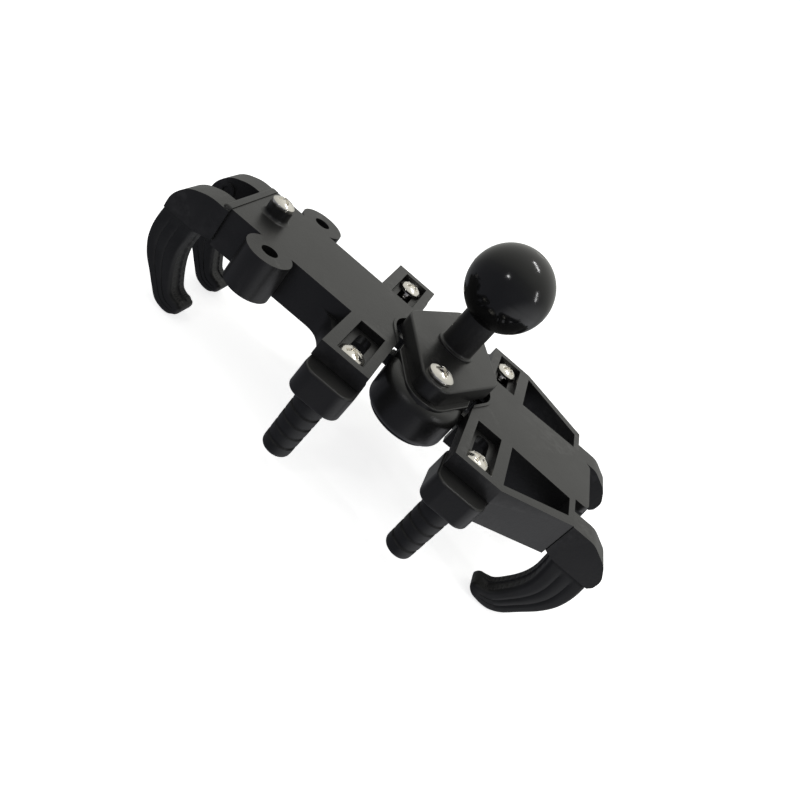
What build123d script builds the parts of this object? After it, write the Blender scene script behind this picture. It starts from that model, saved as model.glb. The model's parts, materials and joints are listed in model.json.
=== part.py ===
"""Phone cradle for a handlebar ball clamp: a ball on a diamond plate, two spring-drawn arms with
hooked rubber fingers, and four rubber posts that slide in slotted lugs.

Frame: origin at the centre of the ball, +Z up through the ball (away from the phone), +X along the
cradle towards the arm with the windows, +Y across the cradle.  The phone lies under the arms.
All sizes are in millimetres.
"""

import os
from math import atan2, cos, pi, radians, sin, sqrt, tan

from build123d import *

os.makedirs("parts", exist_ok=True)

# ---------------------------------------------------------------- ball and diamond plate
ball_diameter = 25.4
ball_rise = 23.6            # ball centre above the plate's top face
ball_skin_wall = 1.6
stem_diameter = 10.6
stem_collar_radius = 6.1
stem_collar_height = 0.7
stem_foot_fillet = 0.6
plate_half_x = 17.4         # to the sharp corners, before they are rounded
plate_half_y = 36.3
plate_side_radius = 9.0
plate_end_radius = 5.4
plate_thickness = 5.0
plate_edge_round = 0.7
plate_screw_y = 23.1
plate_screw_grip = 8.0      # screw length past the plate

# ---------------------------------------------------------------- central housing
housing_radius = 12.4
housing_centre_y = 20.0     # centres of the two round ends
housing_depth = 12.6
housing_floor_round = 2.2
housing_shoulder_round = 3.5
saddle_margin = 1.9         # raised seat that shows round the diamond plate
saddle_rise = 0.5
saddle_edge_round = 0.35
channel_half_y = 9.0        # half width of the way through for the two racks
channel_roof = 4.6          # housing wall above the racks
spring_room_radius = 8.2
spring_room_roof = 1.8
cover_radius = 9.4
cover_thickness = 1.6
pad_radius = 10.4
pad_thickness = 1.0
pad_edge_round = 0.4
cover_screw_x = 6.0
cover_screw_y = 14.5
cover_screw_length = 5.0

# ---------------------------------------------------------------- rack and pinion
gear_module = 0.75
pinion_teeth = 12
pressure_angle = 20.0
gear_backlash = 0.16
pinion_dedendum_share = 1.2
rack_addendum = 0.5         # stub teeth, so that they clear the small gear's roots
rack_dedendum = 0.94
rack_teeth_behind = 3       # teeth on the arm's own side of the gear
rack_teeth_ahead = 14
rack_thickness = 3.8
rack_width = 4.0            # pitch line to the back of the bar
rack_below_roof = 1.5
pinion_hub_radius = 2.7
axle_diameter = 3.0
rack_outer_x = 46.0         # end that is screwed to its own arm
rack_foot_length = 16.0
rack_foot_inner_y = 4.0
rack_foot_outer_y = 11.5
rack_screw_spacing = 9.0
rack_inner_x = 38.0         # free end, past the middle, inside the other arm
spring_strip = 0.4
spring_turns = 4.0
spring_inner_radius = 3.1
spring_outer_radius = 7.6
spring_height = 2.2

# ---------------------------------------------------------------- arms
arm_drop = 0.5              # arm top below the housing top
arm_depth = 12.5
arm_roof = 2.4
arm_wall = 2.6
arm_half_width = 15.7
plate_gap = 1.5             # between the diamond plate and the arm ends
lip_width = 0.9             # raised lip along the arm ends
lip_height = 0.35
lug_inner_x = 14.0
lug_outer_x = 29.1
lug_half_y = 39.7
lug_thickness = 5.0
slot_x = 21.2
pocket_width = 8.5
pocket_inner_y = 16.0
pocket_outer_y = 37.0
pocket_depth = 2.5
slot_inner_y = 17.4
slot_outer_y = 35.0
slot_width = 4.5

left_end_x = 71.0
ear_x = 55.4
ear_y = 20.6
ear_radius = 7.0
ear_hole_radius = 2.5
clamp_inset = 7.0           # clamp screw's axis in from the left arm's end
clamp_post_radius = 3.7
clamp_post_rise = 3.9
clamp_post_fillet = 1.2

window_near_x = 29.3
window_far_x = 50.9
window_near_y = 15.0
window_far_y = 16.1
window_tip_y = 36.4
window_far_tip_y = 25.2
end_rib_x = 53.0
end_rib_tip_y = 28.2
tongue_x = 58.1
tongue_front_y = -14.0
tongue_rear_y = 12.7
tongue_corner = 2.5
undercut_outer_x = 29.4      # outer end of the space the carriers slide in
gusset_far_x = 37.0         # flare between the left arm's side walls and its lugs
gusset_mid_x = 31.3
gusset_mid_y = 19.2
gusset_tip_y = 23.0

# ---------------------------------------------------------------- sliding posts
carrier_half_x = 7.7
carrier_inner_y = 28.9
carrier_outer_y = 46.5
carrier_gap = 0.1
carrier_height = 8.3
carrier_corner = 4.1
carrier_top_round = 0.6
carrier_floor_round = 1.0
post_screw_y = 32.5
stud_y = 40.0
stud_diameter = 5.0
stud_root = 5.0             # length held in the carrier
sleeve_length = 20.1
sleeve_top_radius = 4.65
sleeve_tip_radius = 4.2
sleeve_tip_round = 1.6
sleeve_wall_below = 3.0
sleeve_rings = 3
sleeve_ring_width = 0.7
sleeve_ring_depth = 0.35
sleeve_ring_spacing = 4.4

# ---------------------------------------------------------------- claws
claw_seam_depth = 12.0      # rubber starts this far below the arm top
left_claw_y = 12.5          # middle of each claw across the cradle
left_claw_width = 9.0
right_front_claw_y = -24.4
right_rear_claw_y = 16.8
right_claw_width = 8.0
claw_pin_diameter = 3.0
claw_edge_round = 1.0
bracket_screw_y = 8.0
flange_width = 17.0
flange_thickness = 2.6
flange_screw_x = 49.6
left_flange_length = 14.0
bracket_height = 11.5
bracket_corner = 1.2
crossbar_half_y = 16.4
left_pin_out = 10.4
right_pin_out = 9.6
pin_length = 18.0
pin_above_seam = 7.0
clamp_head_radius = 3.5
clamp_head_height = 2.3
flange_inner_x = 46.8
# Side outlines of the claws: (distance out from the arm end, height above the arm top, corner
# radius).  The metal root comes first, then the rubber finger that hangs from it.
left_root_outline = [
    (0.0, -0.6, 0),
    (6.2, -0.6, 13.0),
    (12.5, -2.9, 8.5),
    (15.6, -7.6, 7.5),
    (15.6, -claw_seam_depth, 0),
    (4.9, -claw_seam_depth, 0),
    (0.0, -10.7, 0),
]
left_finger_outline = [
    (15.6, -claw_seam_depth, 0),
    (16.2, -19.0, 12.0),
    (14.6, -25.5, 8.0),
    (7.4, -34.6, 4.0),
    (4.0, -38.6, 3.0),
    (-1.2, -38.6, 2.2),
    (-3.4, -35.6, 1.5),
    (-2.0, -33.4, 1.0),
    (1.2, -33.0, 1.6),
    (4.2, -27.2, 6.0),
    (5.7, -19.5, 8.0),
    (4.9, -claw_seam_depth, 0),
]
right_root_outline = [
    (0.0, -0.1, 0),
    (7.6, -0.1, 7.0),
    (14.0, -3.3, 5.5),
    (17.1, -7.4, 4.5),
    (16.9, -10.6, 1.2),
    (15.9, -claw_seam_depth, 0),
    (3.4, -claw_seam_depth, 0),
    (0.0, -11.0, 0),
]
right_finger_outline = [
    (15.9, -claw_seam_depth, 0),
    (16.3, -19.5, 12.0),
    (14.4, -26.2, 8.0),
    (4.8, -38.9, 4.0),
    (-3.4, -38.9, 3.2),
    (-6.4, -35.6, 1.8),
    (-4.2, -33.2, 1.2),
    (-0.6, -33.4, 1.2),
    (2.2, -28.6, 6.0),
    (4.6, -20.5, 7.0),
    (3.4, -claw_seam_depth, 0),
]
bracket_plate = 2.4
bracket_tongue = 3.0
bracket_rise = 0.3
crossbar_round = 0.9
ring_boss_out = 10.9        # ring on the inner side of each left claw root
ring_boss_depth = 7.1
ring_boss_radius = 2.5
ring_bore_radius = 1.4
ring_boss_rise = 0.5

# ---------------------------------------------------------------- fasteners
m4_head_radius = 3.9
m4_head_height = 2.5
m4_shank_radius = 2.0
m3_head_radius = 2.75
m3_head_height = 1.9
m3_shank_radius = 1.5
nut_flats = 7.0
nut_height = 3.0
recess_width = 0.9
recess_depth_share = 0.6
recess_span_share = 0.62
flat_recess_share = 0.4
pan_rim_share = 0.4
shank_tip_share = 0.7       # tip radius of a screw, against its shank
shank_tip_rise_share = 0.4

# ---------------------------------------------------------------- fits
screw_clearance = 0.05      # shank to hole, radially
seat_gap = 0.05             # between faces that are pressed together
running_clearance = 0.05    # turning shaft to bore, radially
slide_clearance = 0.3
blind_share = 0.6           # share of the arm roof that a blind screw enters
hole_run_out = 1.0          # blind holes past their screw's tip

# ---------------------------------------------------------------- levels
plate_top = -ball_rise
housing_top = plate_top - plate_thickness
housing_floor = housing_top - housing_depth
arm_top = housing_top - arm_drop
clamp_x = left_end_x - clamp_inset
arm_roof_z = arm_top - arm_roof
channel_z = housing_top - channel_roof
rack_top = channel_z - rack_below_roof
rack_floor = rack_top - rack_thickness
cover_top = housing_floor + cover_thickness
pocket_z = arm_top - pocket_depth
lug_floor = arm_top - lug_thickness
carrier_top = lug_floor - carrier_gap
carrier_floor = carrier_top - carrier_height
seam_z = arm_top - claw_seam_depth
pin_top = seam_z + pin_above_seam
pitch_radius = gear_module * pinion_teeth / 2
collar_top = plate_top + stem_collar_height
tiny = 1e-6
gear_phase = 0.0            # a tooth points at each rack, and a rack gap faces it


def save(piece, name):
    """Label a finished piece and write it as its own STEP file."""
    piece.label = name
    export_step(piece, f"parts/{name}.step")


def pan_screw(plane, head_radius, head_height, shank_radius, length):
    """A pan-head cross-recess screw whose head sits on the plane and whose shank goes below it."""
    rim_height = head_height * pan_rim_share
    dome_rise = head_height - rim_height
    dome_radius = (head_radius**2 + dome_rise**2) / (2 * dome_rise)
    dome_mid_z = head_height - dome_radius + sqrt(dome_radius**2 - (head_radius / 2) ** 2)
    tip_z = -length + shank_radius * shank_tip_rise_share
    with BuildPart() as screw:
        with BuildSketch(Plane.XZ):
            with BuildLine():
                Line((0, -length), (shank_radius * shank_tip_share, -length))
                Line((shank_radius * shank_tip_share, -length), (shank_radius, tip_z))
                Line((shank_radius, tip_z), (shank_radius, 0))
                Line((shank_radius, 0), (head_radius, 0))
                Line((head_radius, 0), (head_radius, rim_height))
                ThreePointArc((head_radius, rim_height), (head_radius / 2, dome_mid_z), (0, head_height))
                Line((0, head_height), (0, -length))
            make_face()
        revolve(axis=Axis.Z)
        depth = head_height * recess_depth_share
        with BuildSketch(Plane.XY.offset(head_height)):
            Rectangle(head_radius * 2 * recess_span_share, recess_width)
            Rectangle(recess_width, head_radius * 2 * recess_span_share)
        extrude(amount=-depth, mode=Mode.SUBTRACT)
    return plane.location * screw.part


def flat_screw(plane, head_radius, shank_radius, length):
    """A countersunk cross-recess screw whose head is flush with the plane, its shank going below."""
    with BuildPart() as screw:
        with BuildSketch(Plane.XZ):
            with BuildLine():
                Polyline(
                    (0, 0),
                    (head_radius, 0),
                    (shank_radius, -(head_radius - shank_radius)),
                    (shank_radius, -length),
                    (0, -length),
                    close=True,
                )
            make_face()
        revolve(axis=Axis.Z)
        with BuildSketch(Plane.XY):
            Rectangle(head_radius * 2 * recess_span_share, recess_width)
            Rectangle(recess_width, head_radius * 2 * recess_span_share)
        extrude(amount=-head_radius * flat_recess_share, mode=Mode.SUBTRACT)
    return plane.location * screw.part


def diamond(half_x, half_y, side_radius, end_radius):
    """The diamond outline with its four corners rounded."""
    with BuildSketch() as outline:
        with BuildLine():
            Polyline((half_x, 0), (0, half_y), (-half_x, 0), (0, -half_y), close=True)
        make_face()
        fillet(outline.vertices().group_by(Axis.Y)[1], side_radius)
        ends = outline.vertices().sort_by(Axis.Y)
        fillet([ends[0], ends[-1]], end_radius)
    return outline.sketch


# ================================================================ base: ball, plate and housing
with BuildPart() as ball_base_plate:
    with BuildSketch(Plane.XY.offset(plate_top)):
        add(diamond(plate_half_x, plate_half_y, plate_side_radius, plate_end_radius))
    extrude(amount=-plate_thickness)
    fillet(ball_base_plate.faces().sort_by(Axis.Z)[-1].edges(), plate_edge_round)
    with BuildSketch(Plane.XY.offset(plate_top)):
        Circle(stem_collar_radius)
    extrude(amount=stem_collar_height)
    fillet(ball_base_plate.faces().sort_by(Axis.Z)[-1].edges(), stem_collar_height / 2)
    core_radius = ball_diameter / 2 - ball_skin_wall
    with BuildSketch(Plane.XY.offset(plate_top)):
        Circle(stem_diameter / 2)
    extrude(amount=ball_rise)
    fillet(
        ball_base_plate.edges().filter_by(GeomType.CIRCLE).filter_by(
            lambda e: abs(e.center().Z - collar_top) < tiny and abs(e.radius - stem_diameter / 2) < tiny
        ),
        stem_foot_fillet,
    )
    with Locations((0, 0, 0)):
        Sphere(core_radius)
    with Locations((0, plate_screw_y, plate_top), (0, -plate_screw_y, plate_top)):
        Hole(m4_shank_radius + screw_clearance)
save(ball_base_plate.part, "ball_base_plate")

with BuildPart() as ball_skin:
    Sphere(ball_diameter / 2)
    Sphere(core_radius + seat_gap, mode=Mode.SUBTRACT)
    with BuildSketch(Plane.XY.offset(-ball_rise)):
        Circle(stem_diameter / 2 + seat_gap)
    extrude(amount=ball_rise, mode=Mode.SUBTRACT)
save(ball_skin.part, "ball_skin")

plate_screw_length = plate_thickness + plate_screw_grip
plate_screws = Part() + [
    pan_screw(
        Plane((0, side * plate_screw_y, plate_top + seat_gap), z_dir=(0, 0, 1)),
        m4_head_radius,
        m4_head_height,
        m4_shank_radius,
        plate_screw_length,
    )
    for side in (-1, 1)
]
save(plate_screws, "plate_screws")

with BuildPart() as center_housing:
    with BuildSketch(Plane.XY.offset(housing_top - seat_gap - saddle_rise)):
        SlotCenterToCenter(2 * housing_centre_y, 2 * housing_radius, rotation=90)
    extrude(amount=-(housing_depth - saddle_rise - seat_gap))
    fillet(center_housing.faces().sort_by(Axis.Z)[0].edges(), housing_floor_round)
    fillet(center_housing.faces().sort_by(Axis.Z)[-1].edges(), housing_shoulder_round)
    # raised diamond seat under the plate
    with BuildSketch(Plane.XY.offset(housing_top - seat_gap)):
        add(diamond(plate_half_x, plate_half_y, plate_side_radius, plate_end_radius))
        offset(amount=saddle_margin, kind=Kind.ARC)
        SlotCenterToCenter(
            2 * housing_centre_y, 2 * housing_radius, rotation=90, mode=Mode.INTERSECT
        )
    extrude(amount=-(saddle_rise + housing_shoulder_round))
    fillet(center_housing.faces().sort_by(Axis.Z)[-1].edges(), saddle_edge_round)
    # the way through for the racks, open below to the cover
    with BuildSketch(Plane.XY.offset(channel_z)):
        Rectangle(4 * housing_radius, 2 * channel_half_y)
    extrude(amount=-(channel_z - cover_top + seat_gap), mode=Mode.SUBTRACT)
    # room for the spiral spring above the gear
    with BuildSketch(Plane.XY.offset(housing_top - seat_gap - spring_room_roof)):
        Circle(spring_room_radius)
    extrude(amount=-channel_roof, mode=Mode.SUBTRACT)
    # recess for the bottom cover
    with BuildSketch(Plane.XY.offset(housing_floor - housing_floor_round)):
        SlotCenterToCenter(
            2 * housing_centre_y, 2 * (cover_radius + slide_clearance), rotation=90
        )
    extrude(amount=cover_thickness + seat_gap + housing_floor_round, mode=Mode.SUBTRACT)
    # tapped holes for the plate screws and the cover screws
    with BuildSketch(Plane.XY.offset(housing_top)):
        with Locations((0, plate_screw_y), (0, -plate_screw_y)):
            Circle(m4_shank_radius + screw_clearance)
    extrude(amount=-(plate_screw_grip + hole_run_out), mode=Mode.SUBTRACT)
    with BuildSketch(Plane.XY.offset(cover_top)):
        with GridLocations(2 * cover_screw_x, 2 * cover_screw_y, 2, 2):
            Circle(m3_shank_radius + screw_clearance)
    extrude(amount=cover_screw_length, mode=Mode.SUBTRACT)
    # blind bore for the axle's upper end
    with BuildSketch(Plane.XY.offset(housing_top - seat_gap - spring_room_roof / 2)):
        Circle(axle_diameter / 2 + screw_clearance)
    extrude(amount=-spring_room_roof, mode=Mode.SUBTRACT)
save(center_housing.part, "center_housing")

with BuildPart() as bottom_cover:
    with BuildSketch(Plane.XY.offset(cover_top)):
        SlotCenterToCenter(2 * housing_centre_y, 2 * cover_radius, rotation=90)
    extrude(amount=-cover_thickness)
    with Locations(Plane.XY.offset(housing_floor).rotated((180, 0, 0))):
        with GridLocations(2 * cover_screw_x, 2 * cover_screw_y, 2, 2):
            CounterSinkHole(
                m3_shank_radius + screw_clearance, m3_head_radius + screw_clearance, cover_thickness
            )
    with BuildSketch(Plane.XY.offset(cover_top)):
        Circle(axle_diameter / 2 + screw_clearance)
    extrude(amount=-cover_thickness / 2, mode=Mode.SUBTRACT)
save(bottom_cover.part, "bottom_cover")

cover_screws = Part() + [
    flat_screw(
        Plane((x, y, housing_floor), z_dir=(0, 0, -1)),
        m3_head_radius,
        m3_shank_radius,
        cover_screw_length,
    )
    for x in (-cover_screw_x, cover_screw_x)
    for y in (-cover_screw_y, cover_screw_y)
]
save(cover_screws, "cover_screws")

with BuildPart() as phone_pad:
    with BuildSketch(Plane.XY.offset(housing_floor - seat_gap)):
        SlotCenterToCenter(2 * housing_centre_y, 2 * pad_radius, rotation=90)
    extrude(amount=-pad_thickness)
    fillet(phone_pad.faces().sort_by(Axis.Z)[0].edges(), pad_edge_round)
save(phone_pad.part, "phone_pad")

# ================================================================ rack and pinion
axle_top = housing_top - seat_gap - spring_room_roof / 2 - seat_gap
axle_bottom = cover_top - cover_thickness / 2 + seat_gap
with BuildPart() as pinion_axle:
    with BuildSketch(Plane.XY.offset(axle_bottom)):
        Circle(axle_diameter / 2)
    extrude(amount=axle_top - axle_bottom)
save(pinion_axle.part, "pinion_axle")


def involute_point(base_radius, radius, half_angle_at_base, side):
    """The point of a tooth flank at this radius; side is -1 or +1."""
    roll = sqrt(max((radius / base_radius) ** 2 - 1, 0))
    angle = half_angle_at_base - (roll - atan2(roll, 1))
    return (radius * cos(side * angle), radius * sin(side * angle))


base_radius = pitch_radius * cos(radians(pressure_angle))
tip_radius = pitch_radius + gear_module
root_radius = pitch_radius - pinion_dedendum_share * gear_module
tooth_foot_radius = (root_radius + axle_diameter / 2) / 2
pitch_roll = tan(radians(pressure_angle))
tooth_half_angle = (pi * gear_module / 2 - gear_backlash) / (2 * pitch_radius)
base_half_angle = tooth_half_angle + pitch_roll - radians(pressure_angle)
flank_radii = [
    base_radius,
    (base_radius + pitch_radius) / 2,
    pitch_radius,
    (pitch_radius + tip_radius) / 2,
    tip_radius,
]

pinion_top = housing_top - seat_gap - spring_room_roof - slide_clearance
with BuildPart() as pinion:
    with BuildSketch(Plane.XY.offset(rack_floor)):
        Circle(root_radius)
        with BuildSketch(mode=Mode.PRIVATE) as tooth:
            with BuildLine():
                flanks = [
                    Spline([involute_point(base_radius, r, base_half_angle, side) for r in flank_radii])
                    for side in (-1, 1)
                ]
                lower, upper = flanks
                ThreePointArc(lower @ 1, (tip_radius, 0), upper @ 1)
                lower_foot = (tooth_foot_radius, (lower @ 0).Y)
                upper_foot = (tooth_foot_radius, (upper @ 0).Y)
                Polyline(lower @ 0, lower_foot, upper_foot, upper @ 0)
            make_face()
        with PolarLocations(0, pinion_teeth, start_angle=gear_phase):
            add(tooth.sketch)
    extrude(amount=rack_thickness)
    with BuildSketch(Plane.XY.offset(cover_top + slide_clearance)):
        Circle(pinion_hub_radius)
    extrude(amount=pinion_top - cover_top - slide_clearance)
    with BuildSketch(Plane.XY.offset(cover_top)):
        Circle(axle_diameter / 2 + running_clearance)
    extrude(amount=housing_depth, mode=Mode.SUBTRACT)
save(pinion.part, "pinion")

with BuildPart() as return_spring:
    spring_top = housing_top - seat_gap - spring_room_roof - slide_clearance
    spring_pitch = (spring_outer_radius - spring_inner_radius - spring_strip) / spring_turns
    with BuildSketch(Plane.XY.offset(spring_top)):
        with BuildLine():
            steps_per_turn = 8
            rims = []
            for rim in (0, spring_strip):
                rims.append(
                    Spline(
                        [
                            Vector(spring_inner_radius + rim + spring_pitch * i / steps_per_turn, 0).rotate(
                                Axis.Z, 360 * i / steps_per_turn
                            )
                            for i in range(int(spring_turns * steps_per_turn) + 1)
                        ]
                    )
                )
            Line(rims[0] @ 0, rims[1] @ 0)
            Line(rims[0] @ 1, rims[1] @ 1)
        make_face()
    extrude(amount=-spring_height)
save(return_spring.part, "return_spring")


def make_rack():
    """The left arm's toothed bar, teeth towards the gear, with its screwed foot at -X."""
    pitch = pi * gear_module
    flank_slope = tan(radians(pressure_angle))
    half_tooth = (pitch / 2 - gear_backlash) / 2
    back_y = pitch_radius + rack_width
    root_y = pitch_radius + rack_dedendum
    foot_y = (rack_foot_inner_y + rack_foot_outer_y) / 2
    foot_x = -rack_outer_x + rack_foot_length / 2
    with BuildPart() as bar:
        with BuildSketch(Plane.XY.offset(rack_floor)):
            with Locations(((rack_inner_x - rack_outer_x) / 2, (root_y + back_y) / 2)):
                Rectangle(rack_inner_x + rack_outer_x, back_y - root_y)
            with Locations((foot_x, foot_y)):
                Rectangle(rack_foot_length, rack_foot_outer_y - rack_foot_inner_y)
            with BuildSketch(mode=Mode.PRIVATE) as tooth:
                with BuildLine():
                    Polyline(
                        (-half_tooth - rack_dedendum * flank_slope, root_y),
                        (-half_tooth + rack_addendum * flank_slope, pitch_radius - rack_addendum),
                        (half_tooth - rack_addendum * flank_slope, pitch_radius - rack_addendum),
                        (half_tooth + rack_dedendum * flank_slope, root_y),
                        close=True,
                    )
                make_face()
            tooth_places = range(-rack_teeth_behind, rack_teeth_ahead + 1)
            with Locations([(pitch * (place + 0.5), 0) for place in tooth_places]):
                add(tooth.sketch)
        extrude(amount=rack_thickness)
        with Locations(Plane.XY.offset(rack_floor)):
            with Locations(
                (foot_x - rack_screw_spacing / 2, foot_y),
                (foot_x + rack_screw_spacing / 2, foot_y),
            ):
                Hole(m3_shank_radius + screw_clearance)
    return bar.part


half_turn = Location((0, 0, 0), (0, 0, 180))
left_rack = make_rack()
save(left_rack, "left_rack")
right_rack = half_turn * make_rack()
save(right_rack, "right_rack")

rack_foot_x = -rack_outer_x + rack_foot_length / 2
rack_foot_y = (rack_foot_inner_y + rack_foot_outer_y) / 2
rack_screw_x = [rack_foot_x - rack_screw_spacing / 2, rack_foot_x + rack_screw_spacing / 2]
rack_screw_length = rack_thickness + (arm_roof_z - rack_top) + arm_roof / 2


def rack_screws():
    """The two screws that hold the left rack's foot up to its arm."""
    return Part() + [
        pan_screw(
            Plane((x, rack_foot_y, rack_floor - seat_gap), z_dir=(0, 0, -1)),
            m3_head_radius,
            m3_head_height,
            m3_shank_radius,
            rack_screw_length,
        )
        for x in rack_screw_x
    ]


left_rack_screws = rack_screws()
save(left_rack_screws, "left_rack_screws")
right_rack_screws = half_turn * rack_screws()
save(right_rack_screws, "right_rack_screws")


# ================================================================ arms
def lug_features(side_x):
    """Cuts for the stepped pockets and slots of the two lugs at this side, in the open part."""
    for side_y in (-1, 1):
        with BuildSketch(Plane.XY.offset(arm_top)) as profile:
            with Locations((side_x * slot_x, side_y * (pocket_inner_y + pocket_outer_y) / 2)):
                Rectangle(pocket_width, pocket_outer_y - pocket_inner_y)
        extrude(profile.sketch, amount=-pocket_depth, mode=Mode.SUBTRACT)
        with BuildSketch(Plane.XY.offset(arm_top)) as profile:
            with Locations((side_x * slot_x, side_y * (slot_inner_y + slot_outer_y) / 2)):
                SlotOverall(slot_outer_y - slot_inner_y, slot_width, rotation=90)
        extrude(profile.sketch, amount=-arm_depth, mode=Mode.SUBTRACT)


def lug_undercut(side_x):
    """Clear the space below the lugs, where the post carriers slide."""
    for side_y in (-1, 1):
        with BuildSketch(Plane.XY.offset(lug_floor)) as profile:
            with Locations(
                (
                    side_x * (lug_inner_x - hole_run_out + undercut_outer_x) / 2,
                    side_y * (arm_half_width + lug_half_y + hole_run_out) / 2,
                )
            ):
                Rectangle(
                    undercut_outer_x - lug_inner_x + hole_run_out,
                    lug_half_y - arm_half_width + hole_run_out,
                )
        extrude(profile.sketch, amount=-arm_depth, mode=Mode.SUBTRACT)


def rack_boss(turn):
    """The block under the roof that the rack's foot is screwed to, with its tapped holes."""
    boss_floor = rack_top + seat_gap
    plane = Plane.XY.offset(boss_floor).rotated((0, 0, turn))
    with BuildSketch(plane) as profile:
        with Locations((rack_foot_x, rack_foot_y)):
            Rectangle(rack_foot_length, rack_foot_outer_y - rack_foot_inner_y)
    extrude(profile.sketch, amount=arm_roof_z - boss_floor)
    with BuildSketch(plane) as profile:
        with Locations([(x, rack_foot_y) for x in rack_screw_x]):
            Circle(m3_shank_radius + screw_clearance)
    hole_depth = arm_roof_z - boss_floor + arm_roof / 2 + screw_clearance
    extrude(profile.sketch, amount=hole_depth, mode=Mode.SUBTRACT)


def inner_end_cut(side_x):
    """Cut the arm back along the diamond plate, with an even gap and a raised lip beside it."""
    with BuildSketch(Plane.XY.offset(arm_top + lip_height)) as profile:
        add(diamond(plate_half_x, plate_half_y, plate_side_radius, plate_end_radius))
        offset(amount=plate_gap + lip_width, kind=Kind.ARC)
        with Locations((side_x * (lug_inner_x + plate_half_x), 0)):
            Rectangle(2 * plate_half_x, 2 * plate_half_y, mode=Mode.INTERSECT)
    extrude(profile.sketch, amount=-lip_height)
    with BuildSketch(Plane.XY.offset(arm_top + lip_height)) as profile:
        add(diamond(plate_half_x, plate_half_y, plate_side_radius, plate_end_radius))
        offset(amount=plate_gap, kind=Kind.ARC)
    extrude(profile.sketch, amount=-(arm_roof + lip_height), mode=Mode.SUBTRACT)


with BuildPart() as left_arm_frame:
    # solid outline of the arm, its ears and its lugs
    with BuildSketch(Plane.XY.offset(arm_top)):
        with Locations((-(left_end_x + lug_inner_x) / 2, 0)):
            Rectangle(left_end_x - lug_inner_x, 2 * arm_half_width)
        with Locations((-ear_x, ear_y), (-ear_x, -ear_y)):
            Circle(ear_radius)
        with Locations((-(lug_inner_x + lug_outer_x) / 2, 0)):
            Rectangle(lug_outer_x - lug_inner_x, 2 * lug_half_y)
    extrude(amount=-arm_depth)
    lug_undercut(-1)
    # gussets that flare from the side walls to the lugs
    for side_y in (-1, 1):
        with BuildSketch(Plane.XY.offset(arm_top - arm_depth)):
            with BuildLine():
                end_slope = (gusset_mid_x - undercut_outer_x, side_y * (gusset_tip_y - gusset_mid_y))
                Spline(
                    (-gusset_far_x, side_y * arm_half_width),
                    (-gusset_mid_x, side_y * gusset_mid_y),
                    (-undercut_outer_x, side_y * gusset_tip_y),
                    tangents=[(1, 0), end_slope],
                )
                Polyline(
                    (-undercut_outer_x, side_y * gusset_tip_y),
                    (-undercut_outer_x, side_y * (arm_half_width - arm_wall)),
                    (-gusset_far_x, side_y * (arm_half_width - arm_wall)),
                    (-gusset_far_x, side_y * arm_half_width),
                )
            make_face()
        extrude(amount=lug_floor - arm_top + arm_depth + seat_gap)
    # hollow underside, open at both ends
    with BuildSketch(Plane.XY.offset(arm_roof_z)):
        with Locations((-(left_end_x + lug_inner_x) / 2, 0)):
            Rectangle(left_end_x - lug_inner_x, 2 * (arm_half_width - arm_wall))
    extrude(amount=-arm_depth, mode=Mode.SUBTRACT)
    lug_features(-1)
    inner_end_cut(-1)
    rack_boss(0)
    # ear holes
    with BuildSketch(Plane.XY.offset(arm_top)):
        with Locations((-ear_x, ear_y), (-ear_x, -ear_y)):
            Circle(ear_hole_radius)
    extrude(amount=-arm_depth, mode=Mode.SUBTRACT)
    # post for the clamp screw
    with BuildSketch(Plane.XY.offset(arm_top)):
        with Locations((-clamp_x, 0)):
            Circle(clamp_post_radius)
    extrude(amount=clamp_post_rise)
    fillet(
        left_arm_frame.edges().filter_by(GeomType.CIRCLE).filter_by(
            lambda e: abs(e.center().Z - arm_top) < tiny and abs(e.radius - clamp_post_radius) < tiny
        ),
        clamp_post_fillet,
    )
    with BuildSketch(Plane.XY.offset(arm_top + clamp_post_rise)):
        with Locations((-clamp_x, 0)):
            Circle(m3_shank_radius + screw_clearance)
    extrude(amount=-arm_depth, mode=Mode.SUBTRACT)
save(left_arm_frame.part, "left_arm_frame")

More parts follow.
